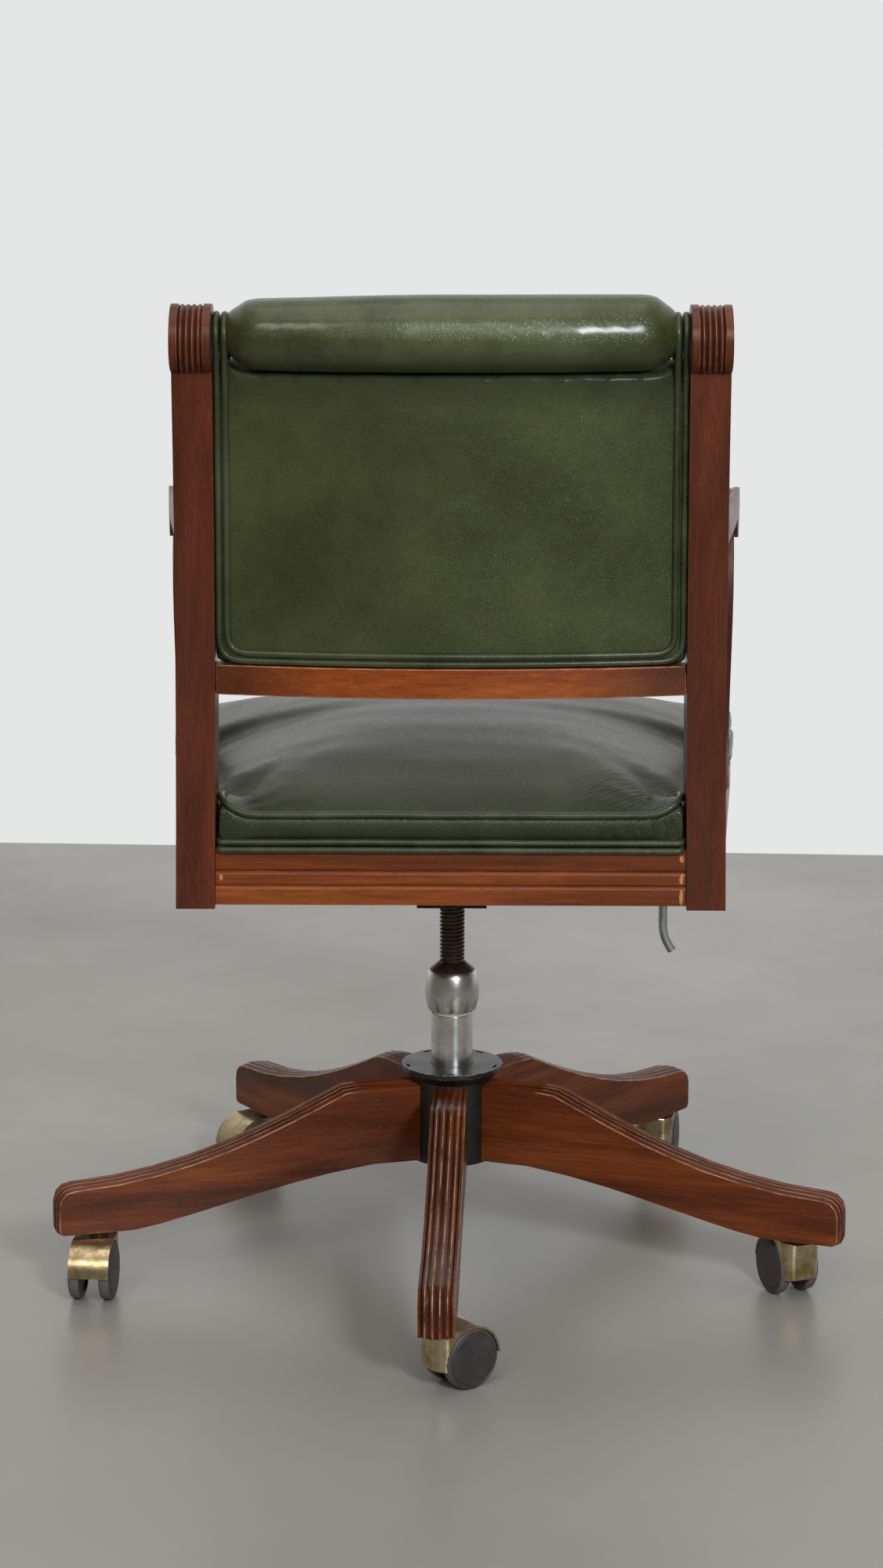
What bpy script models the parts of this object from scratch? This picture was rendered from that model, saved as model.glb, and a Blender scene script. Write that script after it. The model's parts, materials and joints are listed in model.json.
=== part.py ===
# Swivel desk chair in mahogany and leather. Metres, +Z up, the seat faces -Y, the floor is z = 0.
# First the sizes, then what follows from them, then the shaping tools, then one function for each piece.

import math

import bmesh
import bpy
from mathutils import Matrix, Vector

for old in list(bpy.data.objects):
    bpy.data.objects.remove(old, do_unlink=True)

GAP = 0.0003  # between neighbouring solids, and round a shaft in its bore

# Casters
WHEEL_RADIUS = 0.0237
WHEEL_WIDTH = 0.0105
WHEEL_SPACING = 0.016  # between the two inner faces
WHEEL_DOME = 0.0022
WHEEL_CAP = 0.0015  # left beyond the end of the axle
WHEEL_SIDES = 20
CASTER_TRAIL = 0.0215
CASTER_HEIGHT = 0.0525  # floor to the flat under the leg
HOOD_WIDTH = 0.033
HOOD_CLEARANCE = 0.0008
HOOD_WALL = 0.0018
HOOD_NOSE = 0.0085  # front of the hood ahead of the stem
HOOD_NOSE_CORNER = 0.0105  # seen from above
HOOD_LOWER_LIP = 0.0185  # above the floor, on the stem's side
HOOD_TAIL_ANGLE = math.radians(2)  # where the hood ends behind, above the level of the axle
HOOD_CORNER = 0.004
AXLE_RADIUS = 0.0025
STEM_RADIUS = 0.0055
STEM_IN_LEG = 0.026
STEM_IN_HOOD = 0.020
COLLAR_RADIUS = 0.008
COLLAR_HEIGHT = 0.0022
STEM_FROM_LEG_END = 0.034
# Way each caster points at rest, from +X: rear leg, right, front right, front left, left
CASTER_HEADINGS = [math.radians(a) for a in (218, -68, -101, 40, 85)]

# Legs and hub
LEG_COUNT = 5
STAR_TURN = math.radians(-1.6)
LEG_REACH = 0.337
LEG_WIDTH = 0.0285
LEG_RISE = 0.0388  # from the flat at the caster to the underside at the hub
LEG_ROOT_HEIGHT = 0.0645
LEG_END_HEIGHT = 0.0373
LEG_FLAT_LENGTH = 0.0615
LEG_SHOULDER = 0.095  # from the swivel axis
LEG_BELLY = 0.072
LEG_END_ROUND = 0.013
LEG_TOE_ROUND = 0.004
LEG_REED_MARGIN = 0.0022
LEG_CROWN = 0.003  # how far the middle of the reeded face stands out
REED_COUNT = 4
REED_DEPTH = 0.0016
REED_QUIRK = 0.0005  # flat step beside the first and last reed
HUB_RADIUS = 0.0343
HUB_FOOT = 0.0018  # hub below the legs' roots
HUB_FLARE_HEIGHT = 0.0075
FLANGE_RADIUS = 0.0425
FLANGE_RIM = 0.004
SLOT_LENGTH = 0.008
SLOT_WIDTH = 0.0025
SLOT_DEPTH = 0.0015
SLOT_CENTRE = 0.038
HUB_LIP_HEIGHT = 0.005
HUB_LIP_WIDTH = 0.0035

# Column
TUBE_RADIUS = 0.0175
TUBE_WALL = 0.003
TUBE_RISE = 0.0435  # above the hub
SLEEVE_FLANGE = 0.0014
SLEEVE_LENGTH = 0.105
WASHER_HEIGHT = 0.0012
NUT_RADIUS = 0.0225
NUT_LIP_RADIUS = 0.0202
NUT_NECK_RADIUS = 0.0192
NUT_HEIGHT = 0.040
NUT_CONE_HEIGHT = 0.006
SPINDLE_RADIUS = 0.0105
THREAD_DEPTH = 0.0013
THREAD_PITCH = 0.0033
THREAD_LENGTH = 0.161
THREAD_SIDES = 10
SPINDLE_BELOW_THREAD = 0.020
SPINDLE_SHOWN = 0.0565  # from the nut to the collar under the bracket
SPINDLE_COLLAR_RADIUS = 0.014
SPINDLE_COLLAR_HEIGHT = 0.004
TENON_RADIUS = 0.007
TENON_RISE = 0.004

# Tilt mechanism
BRACKET_WIDTH = 0.057
BRACKET_WALL = 0.003
BRACKET_FRONT = 0.060
BRACKET_REAR = 0.062
BRACKET_HEIGHT = 0.038
PIVOT_RISE = 0.029  # tilt axis above the bracket's underside
TILT_AXLE_RADIUS = 0.005
TILT_HEAD_RADIUS = 0.0075
TILT_HEAD_HEIGHT = 0.002
SEAT_PLATE_RISE = 0.053
SEAT_PLATE_WALL = 0.003
SEAT_PLATE_WIDTH = 0.170
SEAT_PLATE_LENGTH = 0.180
EAR_WIDTH = 0.034
SPRING_RADIUS = 0.013
SPRING_WIRE = 0.0022
SPRING_TURNS = 5
SPRING_CENTRE = 0.036  # behind the tilt axis
LEVER_RADIUS = 0.0037
LEVER_AHEAD = 0.036  # of the tilt axis
LEVER_RISE = 0.017  # above the bracket's underside
LEVER_REACH = 0.1778  # from the swivel axis to the part that hangs down
LEVER_DROP = 0.0636
LEVER_TIP_DROP = 0.0138
LEVER_TIP_OUT = 0.0085
LEVER_BEND = 0.012
PAWL_RADIUS = 0.0085
PAWL_LENGTH = 0.017
PAWL_WIDTH = 0.010

# Seat frame
FRAME_ABOVE_BRACKET = 0.0365
RAIL_HEIGHT = 0.044
RAIL_THICKNESS = 0.025
GROOVE_HEIGHTS = (0.015, 0.0265)  # above the rail's underside
GROOVE_DEPTH = 0.0018
GROOVE_WIDTH = 0.003
SEAT_FRONT = 0.262  # front face of the frame ahead of the swivel axis
SEAT_FLARE = 0.0382  # how far each side runs out from the posts to the front corner
REAR_RAIL_SET_BACK = 0.002  # from the posts' rear faces
BATTEN_WIDTH = 0.045
BATTEN_SPACING = 0.100
BOARD_THICKNESS = 0.009

# Posts and back
POST_WIDTH = 0.030
POST_REAR = 0.2045  # rear face behind the swivel axis, at the seat
POST_DEPTH = 0.0415
POST_TOP_DEPTH = 0.030
POST_HALF_SPAN = 0.2118  # outer face at the foot
POST_TAPER_IN = 0.0063  # how far each post leans in at the scroll
POST_BACKSET = 0.0435  # how far it leans back at the scroll
POST_STRAIGHT = 0.0615  # height above the rail's underside where the lean starts
POST_FOOT = 0.003  # below the rails
SCROLL_RISE = 0.4375  # centre of the scroll above the rail's underside
SCROLL_RADIUS = 0.025
POST_REED_MARGIN = 0.0058
POST_REED_START = 0.112
CROSS_RAIL_RISE = 0.1655
CROSS_RAIL_HEIGHT = 0.023
CROSS_RAIL_DEPTH = 0.020
BACK_BOW = 0.020
PAD_REAR_INSET = 0.003
PAD_THICKNESS = 0.046
PAD_EDGE_THICKNESS = 0.030
PAD_CORNER = 0.004
ROLL_RADIUS = 0.030
ROLL_RISE = 0.003  # of its centre above the scrolls'
ROLL_CAP = 0.72  # radius of its flat end against the post, as a share of the whole
ROLL_PIPED = 0.80  # radius of the piped part beside it
ROLL_SHOULDERS = ((0.02, 0.90), (0.08, 0.985))  # way in from the piping and radius, as shares
PIPING = 0.006

# Arms
ARM_WIDTH = 0.030
ARM_RISE = 0.3065  # top at the post above the rail's underside
ARM_ROOT_HEIGHT = 0.038
ARM_LENGTH = 0.313
ARM_SPLAY = 0.0152  # how far the middle of the arm's scroll stands outside the post's foot
ARM_SCROLL_RADIUS = 0.0215
ARM_SCROLL_RISE = 0.266
ARM_NECK = 0.0025  # underside above the middle of the arm's scroll, taken down
ARM_REED_MARGIN = 0.0058
SUPPORT_THICKNESS = 0.024
SUPPORT_FOOT_DEPTH = 0.034
SUPPORT_TOP_DEPTH = 0.023
SUPPORT_FOOT_AHEAD = 0.050
SUPPORT_TOP_BEHIND_SCROLL = 0.053
SUPPORT_SWELL = 0.024

# Cushion
CUSHION_HEIGHT = 0.0255  # to the top piping
CUSHION_CROWN = 0.046
CUSHION_FRONT_OVERHANG = 0.012
CUSHION_SIDE_GAP = 0.003
CUSHION_DRAW_IN = 0.0025
CUSHION_CORNER = 0.030
CUSHION_HORN = 0.018  # from the arm support to the wide front part

# Half widths in front
seat_half_front = POST_HALF_SPAN + SEAT_FLARE
arm_half_spread = POST_HALF_SPAN + ARM_SPLAY

# Levels, from the floor up
leg_seat_z = CASTER_HEIGHT
leg_root_z = leg_seat_z + LEG_RISE
leg_top_z = leg_root_z + LEG_ROOT_HEIGHT
leg_end_z = leg_seat_z + LEG_END_HEIGHT
hub_low_z = leg_root_z - HUB_FOOT
flare_low_z = leg_top_z + LEG_CROWN + GAP
flange_low_z = flare_low_z + HUB_FLARE_HEIGHT
hub_top_z = flange_low_z + FLANGE_RIM
tube_top_z = hub_top_z + TUBE_RISE
sleeve_top_z = tube_top_z + GAP + SLEEVE_FLANGE
washer_top_z = sleeve_top_z + GAP + WASHER_HEIGHT
nut_low_z = washer_top_z + GAP
nut_top_z = nut_low_z + NUT_HEIGHT
collar_low_z = nut_top_z + SPINDLE_SHOWN
bracket_z = collar_low_z + SPINDLE_COLLAR_HEIGHT + GAP
pivot_z = bracket_z + PIVOT_RISE
plate_z = bracket_z + SEAT_PLATE_RISE
plate_top_z = plate_z + SEAT_PLATE_WALL
rail_z = bracket_z + FRAME_ABOVE_BRACKET
rail_top_z = rail_z + RAIL_HEIGHT
board_z = rail_top_z - BOARD_THICKNESS
batten_z = plate_top_z + GAP
post_foot_z = rail_z - POST_FOOT
lean_z = rail_z + POST_STRAIGHT
scroll_z = rail_z + SCROLL_RISE
roll_z = scroll_z + ROLL_RISE
cross_z = rail_z + CROSS_RAIL_RISE
pad_z = cross_z + CROSS_RAIL_HEIGHT + GAP
pad_top_z = roll_z - ROLL_RADIUS - GAP
cushion_z = rail_top_z + GAP
arm_top_z = rail_z + ARM_RISE
arm_scroll_z = rail_z + ARM_SCROLL_RISE

# Places seen from above
tube_bore = TUBE_RADIUS - TUBE_WALL
stem_reach = LEG_REACH - STEM_FROM_LEG_END
lever_y = -LEVER_AHEAD
leg_angles = [math.radians(90) + STAR_TURN + math.tau * k / LEG_COUNT for k in range(LEG_COUNT)]
caster_front = max(
    -stem_reach * math.sin(angle) - CASTER_TRAIL * math.sin(heading)
    for angle, heading in zip(leg_angles, CASTER_HEADINGS)
)
front_reach = max(caster_front + WHEEL_RADIUS + HOOD_WALL, SEAT_FRONT + CUSHION_FRONT_OVERHANG)
swivel_y = (front_reach - LEG_REACH) / 2  # puts the middle of the whole chair at y = 0

# Colours as seen, with roughness and metallic value
FINISHES = {
    "mahogany": ((112, 52, 30), 0.35, 0.0),
    "dark_mahogany": ((84, 40, 27), 0.35, 0.0),
    "leather": ((58, 66, 43), 0.4, 0.0),
    "brass": ((176, 148, 96), 0.32, 1.0),
    "dark_plastic": ((58, 50, 50), 0.4, 0.0),
    "black_paint": ((24, 24, 24), 0.4, 0.0),
    "polished_steel": ((196, 194, 190), 0.22, 1.0),
    "dark_steel": ((52, 44, 40), 0.45, 1.0),
    "grey_steel": ((124, 126, 128), 0.4, 1.0),
    "bearing_plastic": ((205, 200, 186), 0.5, 0.0),
    "plywood": ((178, 146, 104), 0.6, 0.0),
}


def linear(channel):
    value = channel / 255
    return value / 12.92 if value <= 0.04045 else ((value + 0.055) / 1.055) ** 2.4


def make_material(name, finish):
    colour, roughness, metallic = FINISHES[finish]
    material = bpy.data.materials.new(f"{name}_{finish}")
    material.use_nodes = True
    shader = material.node_tree.nodes["Principled BSDF"]
    shader.inputs["Base Color"].default_value = (*[linear(c) for c in colour], 1)
    shader.inputs["Roughness"].default_value = roughness
    shader.inputs["Metallic"].default_value = metallic
    return material


def add_empty(name, location, parent=None, turn=0.0):
    empty = bpy.data.objects.new(name, None)
    bpy.context.collection.objects.link(empty)
    empty.location = location
    empty.rotation_euler = (0, 0, turn)
    empty.parent = parent
    return empty


def add_object(name, data, finish, parent, location=(0, 0, 0), turn=0.0):
    piece = bpy.data.objects.new(name, data)
    bpy.context.collection.objects.link(piece)
    if not data.materials:
        data.materials.append(make_material(name, finish))
    piece.location = location
    piece.rotation_euler = (0, 0, turn)
    piece.parent = parent
    return piece


def to_mesh(name, bm, smooth_angle=30):
    bmesh.ops.recalc_face_normals(bm, faces=bm.faces)
    mesh = bpy.data.meshes.new(name)
    bm.to_mesh(mesh)
    bm.free()
    mesh.shade_smooth()
    mesh.set_sharp_from_angle(angle=math.radians(smooth_angle))
    return mesh


def turned(profile, sides, axis_start=0.0):
    """A solid turned about Z from (radius, height) points: closed on itself, or ending on the axis."""
    bm = bmesh.new()
    corners = [
        bm.verts.new((r * math.cos(axis_start), r * math.sin(axis_start), z)) for r, z in profile
    ]
    edges = [bm.edges.new(pair) for pair in zip(corners, corners[1:])]
    if profile[0][0] > 0:
        edges.append(bm.edges.new((corners[-1], corners[0])))
    bmesh.ops.spin(
        bm, geom=corners + edges, cent=(0, 0, 0), axis=(0, 0, 1), angle=math.tau, steps=sides, use_merge=True
    )
    bmesh.ops.remove_doubles(bm, verts=bm.verts, dist=1e-6)
    return bm


def slab(outline, low, high, place):
    """An outline of (a, b) points, drawn out from low to high; place(c, a, b) puts a point in space."""
    bm = bmesh.new()
    face = bm.faces.new([bm.verts.new(place(low, a, b)) for a, b in outline])
    drawn = bmesh.ops.extrude_face_region(bm, geom=[face])["geom"]
    moved = [item for item in drawn if isinstance(item, bmesh.types.BMVert)]
    bmesh.ops.translate(bm, verts=moved, vec=Vector(place(high, 0, 0)) - Vector(place(low, 0, 0)))
    return bm


def from_above(c, a, b):
    return (a, b, c)


def from_the_side(c, a, b):
    return (c, a, b)


def along_y(c, a, b):
    return (a, c, b)


def loft(rings):
    """Quads between rings of as many points each, closed with a face at both ends."""
    bm = bmesh.new()
    loops = [[bm.verts.new(point) for point in ring] for ring in rings]
    for low, high in zip(loops, loops[1:]):
        for i in range(len(low)):
            j = (i + 1) % len(low)
            bm.faces.new((low[i], low[j], high[j], high[i]))
    bm.faces.new(loops[0])
    bm.faces.new(loops[-1])
    return bm


def bezier(p0, p1, p2, p3, steps):
    points = []
    for k in range(steps + 1):
        t = k / steps
        weights = ((1 - t) ** 3, 3 * t * (1 - t) ** 2, 3 * t * t * (1 - t), t**3)
        points.append(tuple(sum(w * p[i] for w, p in zip(weights, (p0, p1, p2, p3))) for i in (0, 1)))
    return points


def arc(centre, radius, start, end, steps):
    """Points round a centre, from one angle in degrees to another."""
    angles = [math.radians(start + (end - start) * k / steps) for k in range(steps + 1)]
    return [(centre[0] + radius * math.cos(a), centre[1] + radius * math.sin(a)) for a in angles]


def rounded_corner(before, corner, after, radius, steps=3):
    corner = Vector(corner)
    to_before = (Vector(before) - corner).normalized()
    to_after = (Vector(after) - corner).normalized()
    half = to_before.angle(to_after) / 2
    centre = corner + (to_before + to_after).normalized() * radius / math.sin(half)
    start = corner + to_before * radius / math.tan(half) - centre
    end = corner + to_after * radius / math.tan(half) - centre
    turn = start.angle(end)
    points = []
    for k in range(steps + 1):
        ahead = turn * k / steps
        spoke = (start * math.sin(turn - ahead) + end * math.sin(ahead)) / math.sin(turn)
        points.append(tuple(centre + spoke))
    return points


def rounded(outline, radii, steps=3):
    """A closed outline with each corner rounded by its own radius, 0 for a sharp one."""
    points = []
    for i, (corner, radius) in enumerate(zip(outline, radii)):
        if radius:
            after = outline[(i + 1) % len(outline)]
            points += rounded_corner(outline[i - 1], corner, after, radius, steps)
        else:
            points.append(corner)
    return points


def tube_curve(name, points, radius, resolution):
    curve = bpy.data.curves.new(name, "CURVE")
    curve.dimensions = "3D"
    curve.bevel_depth = radius
    curve.bevel_resolution = resolution
    curve.use_fill_caps = True
    spline = curve.splines.new("POLY")
    spline.points.add(len(points) - 1)
    for slot, point in zip(spline.points, points):
        slot.co = (*point, 1)
    return curve


def cut(piece, cutter_bm, name, location=(0, 0, 0), turn=0.0, keep="DIFFERENCE"):
    """Cut a piece with a hidden cutter, or keep only what lies inside the cutter."""
    cutter = bpy.data.objects.new(name, to_mesh(name, cutter_bm))
    bpy.context.collection.objects.link(cutter)
    cutter.parent = piece.parent
    cutter.location = location
    cutter.rotation_euler = (0, 0, turn)
    cutter.hide_render = True
    cutter.display_type = "WIRE"
    boolean = piece.modifiers.new(name, "BOOLEAN")
    boolean.operation = keep
    boolean.solver = "EXACT"
    boolean.object = cutter


def finished_mesh(piece):
    """The mesh of a piece after its cuts, for the other copies of it."""
    graph = bpy.context.evaluated_depsgraph_get()
    graph.update()
    mesh = bpy.data.meshes.new_from_object(piece.evaluated_get(graph))
    for boolean in list(piece.modifiers):
        cutter = boolean.object
        piece.modifiers.remove(boolean)
        bpy.data.objects.remove(cutter, do_unlink=True)
    piece.data = mesh
    return mesh


def reed_stations(width, margin, crown):
    """(place across the bar, depth) of each edge of the flat margins, the valleys and the crests."""
    first = margin + REED_QUIRK
    pitch = (width - 2 * first) / REED_COUNT
    stations = [(0, 0), (margin, 0), (first, REED_DEPTH)]
    for k in range(REED_COUNT):
        stations += [(first + (k + 0.5) * pitch, 0), (first + (k + 1) * pitch, REED_DEPTH)]
    stations += [(width - margin, 0), (width, 0)]
    spots = [(across - width / 2, depth) for across, depth in stations]
    return [(across, depth - crown * (1 - (2 * across / width) ** 2)) for across, depth in spots]


def inward_normals(outline, count):
    """Unit vectors into the outline at its first points; the end ones run along the plain edges."""
    area = sum(a[0] * b[1] - b[0] * a[1] for a, b in zip(outline, outline[1:] + outline[:1]))
    side = 1 if area > 0 else -1
    normals = [(Vector(outline[-1]) - Vector(outline[0])).normalized()]
    for before, after in zip(outline, outline[2:count]):
        along = (Vector(after) - Vector(before)).normalized()
        normals.append(Vector((-along.y, along.x)) * side)
    normals.append((Vector(outline[count]) - Vector(outline[count - 1])).normalized())
    return normals


def reeded_bar(reeded, plain, width, margin, place, crown=0.0):
    """A bar with a side outline: reeds run along its first points, and the rest of it is plain."""
    stations = reed_stations(width, margin, crown)
    normals = inward_normals(reeded + plain, len(reeded))
    bm = bmesh.new()
    chains = []
    for across, depth in stations:
        points = [Vector(point) + normal * depth for point, normal in zip(reeded, normals)]
        chains.append([bm.verts.new(place(across, a, b)) for a, b in points])
    ends = (stations[0][0], stations[-1][0])
    near, far = ([bm.verts.new(place(across, a, b)) for a, b in plain] for across in ends)
    strips = list(zip(chains, chains[1:])) + [(far, near)]
    for left, right in strips:
        for i in range(len(left) - 1):
            bm.faces.new((left[i], left[i + 1], right[i + 1], right[i]))
    bm.faces.new([chain[-1] for chain in chains] + [far[0], near[0]])
    bm.faces.new([chain[0] for chain in chains] + [far[-1], near[-1]])
    bm.faces.new(chains[0] + near)
    bm.faces.new(chains[-1] + far)
    return bm


def post_rear(z):
    """How far behind the swivel axis the posts' rear faces are at a height."""
    lean_height = scroll_z - SCROLL_RADIUS - lean_z
    return POST_REAR + POST_BACKSET * (max(0.0, z - lean_z) / lean_height) ** 2


def post_front(z):
    share = max(0.0, z - lean_z) / (scroll_z - SCROLL_RADIUS - lean_z)
    return post_rear(z) - POST_DEPTH + (POST_DEPTH - POST_TOP_DEPTH) * share


def post_inner(z):
    """Half the width between the posts at a height."""
    lean_in = POST_TAPER_IN * (z - post_foot_z) / (scroll_z - SCROLL_RADIUS - post_foot_z)
    return POST_HALF_SPAN - lean_in - POST_WIDTH


def frame_half(y):
    """Half the width of the seat frame, from the posts' front faces forward."""
    share = (post_front(rail_z) - y) / (post_front(rail_z) + SEAT_FRONT)
    return POST_HALF_SPAN + (seat_half_front - POST_HALF_SPAN) * share


def arm_centre(y):
    """How far from the middle of the seat an arm's centre line is, from its root to its scroll."""
    root_y = post_front(arm_top_z)
    share = (root_y - y) / ARM_LENGTH
    root_half = post_inner(arm_top_z) + POST_WIDTH / 2
    return root_half + (arm_half_spread - root_half) * share


def post_scroll():
    """Centre of the scroll and the angle at which the front face runs into it."""
    step = 0.001
    slope = math.atan((post_front(scroll_z) - post_front(scroll_z - step)) / step)
    meet_z = scroll_z - SCROLL_RADIUS * math.sin(slope)
    return (post_front(meet_z) + SCROLL_RADIUS * math.cos(slope), scroll_z), math.degrees(slope)


def make_leg_mesh(parent):
    end_rise = (leg_end_z - leg_top_z)
    run = LEG_REACH - LEG_END_ROUND - LEG_SHOULDER
    root = HUB_RADIUS - LEG_TOE_ROUND
    top = [(root, leg_top_z), (LEG_SHOULDER - LEG_END_ROUND, leg_top_z)]
    sweep = bezier(
        (LEG_SHOULDER, leg_top_z + 0.02 * end_rise),
        (LEG_SHOULDER + 0.26 * run, leg_top_z + 0.43 * end_rise),
        (LEG_SHOULDER + 0.57 * run, leg_top_z + 0.96 * end_rise),
        (LEG_REACH - LEG_END_ROUND, leg_end_z),
        8,
    )
    end = arc((LEG_REACH - LEG_END_ROUND, leg_end_z - LEG_END_ROUND), LEG_END_ROUND, 60, 0, 2)
    toe = arc((LEG_REACH - LEG_TOE_ROUND, leg_seat_z + LEG_TOE_ROUND), LEG_TOE_ROUND, 0, -90, 2)
    flat_end = LEG_REACH - LEG_FLAT_LENGTH
    belly_run = flat_end - LEG_BELLY
    belly = bezier(
        (flat_end, leg_seat_z),
        (flat_end - 0.235 * belly_run, leg_seat_z + 0.14 * LEG_RISE),
        (flat_end - 0.61 * belly_run, leg_seat_z + 0.82 * LEG_RISE),
        (LEG_BELLY, leg_root_z),
        7,
    )
    reeded = top + sweep + end + toe
    plain = belly + [(root, leg_root_z)]
    bm = reeded_bar(reeded, plain, LEG_WIDTH, LEG_REED_MARGIN, along_y, LEG_CROWN)
    leg = add_object("leg_1", to_mesh("leg", bm, 40), "mahogany", parent)
    hub_space = turned([(0, 0), (HUB_RADIUS + GAP, 0), (HUB_RADIUS + GAP, hub_top_z), (0, hub_top_z)], 48)
    cut(leg, hub_space, "hub_space")
    socket_top = leg_seat_z + STEM_IN_LEG + GAP
    socket = turned([(0, 0), (STEM_RADIUS + GAP, 0), (STEM_RADIUS + GAP, socket_top), (0, socket_top)], 16)
    cut(leg, socket, "stem_socket", location=(stem_reach, 0, 0))
    return leg, finished_mesh(leg)


def make_legs(parent):
    first, mesh = make_leg_mesh(parent)
    first.rotation_euler = (0, 0, leg_angles[0])
    for k, angle in enumerate(leg_angles[1:], start=2):
        add_object(f"leg_{k}", mesh, "mahogany", parent, turn=angle)


def make_hub(parent):
    bore = TUBE_RADIUS + GAP
    lip = bore - HUB_LIP_WIDTH
    profile = [
        (lip, hub_low_z),
        (HUB_RADIUS, hub_low_z),
        (HUB_RADIUS, flare_low_z),
        (FLANGE_RADIUS, flange_low_z),
        (FLANGE_RADIUS, hub_top_z - GAP),
        (FLANGE_RADIUS - GAP, hub_top_z),
        (bore, hub_top_z),
        (bore, hub_low_z + HUB_LIP_HEIGHT),
        (lip, hub_low_z + HUB_LIP_HEIGHT),
    ]
    hub = add_object("hub", to_mesh("hub", turned(profile, 40)), "black_paint", parent)
    half, end = SLOT_LENGTH / 2, SLOT_WIDTH / 2
    slot = arc((half - end, 0), end, -90, 90, 3) + arc((end - half, 0), end, 90, 270, 3)
    for k, angle in enumerate(leg_angles, start=1):
        place = (SLOT_CENTRE * math.cos(angle), SLOT_CENTRE * math.sin(angle), 0)
        cutter = slab(slot, hub_top_z - SLOT_DEPTH, hub_top_z + SLOT_DEPTH, from_above)
        cut(hub, cutter, f"slot_cutter_{k}", place, angle + math.radians(90))


def make_column(parent, column, nut):
    tube_low = hub_low_z + HUB_LIP_HEIGHT + GAP
    tube = [
        (tube_bore, tube_low),
        (TUBE_RADIUS, tube_low),
        (TUBE_RADIUS, tube_top_z),
        (tube_bore, tube_top_z),
    ]
    add_object("column_tube", to_mesh("column_tube", turned(tube, 32)), "polished_steel", parent)
    spindle_bore = SPINDLE_RADIUS + GAP
    sleeve_low = tube_top_z - SLEEVE_LENGTH
    sleeve = [
        (spindle_bore, sleeve_low),
        (tube_bore - GAP, sleeve_low),
        (tube_bore - GAP, tube_top_z + GAP),
        (TUBE_RADIUS, tube_top_z + GAP),
        (TUBE_RADIUS, sleeve_top_z),
        (spindle_bore, sleeve_top_z),
    ]
    add_object("swivel_sleeve", to_mesh("swivel_sleeve", turned(sleeve, 24)), "bearing_plastic", column)
    washer = [
        (spindle_bore, sleeve_top_z + GAP),
        (TUBE_RADIUS, sleeve_top_z + GAP),
        (TUBE_RADIUS, washer_top_z),
        (spindle_bore, washer_top_z),
    ]
    add_object("thrust_washer", to_mesh("thrust_washer", turned(washer, 24)), "polished_steel", column)
    cone_z = nut_top_z - NUT_CONE_HEIGHT
    body = cone_z - nut_low_z
    belly = [(NUT_LIP_RADIUS, nut_low_z + GAP)]
    for k in range(1, 7):
        share = k / 7
        bulge = 4 * share * (1 - share)
        edge = NUT_LIP_RADIUS + (NUT_NECK_RADIUS - NUT_LIP_RADIUS) * share
        swell = NUT_RADIUS - (NUT_LIP_RADIUS + NUT_NECK_RADIUS) / 2
        belly.append((edge + swell * bulge, nut_low_z + body * share))
    cone = [(NUT_NECK_RADIUS, cone_z), (spindle_bore + 0.001, nut_top_z), (spindle_bore, nut_top_z)]
    bottom = [(spindle_bore, nut_low_z), (NUT_LIP_RADIUS - GAP, nut_low_z)]
    mesh = to_mesh("height_nut", turned(bottom + belly + cone, 32))
    add_object("height_nut", mesh, "polished_steel", nut)


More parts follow.
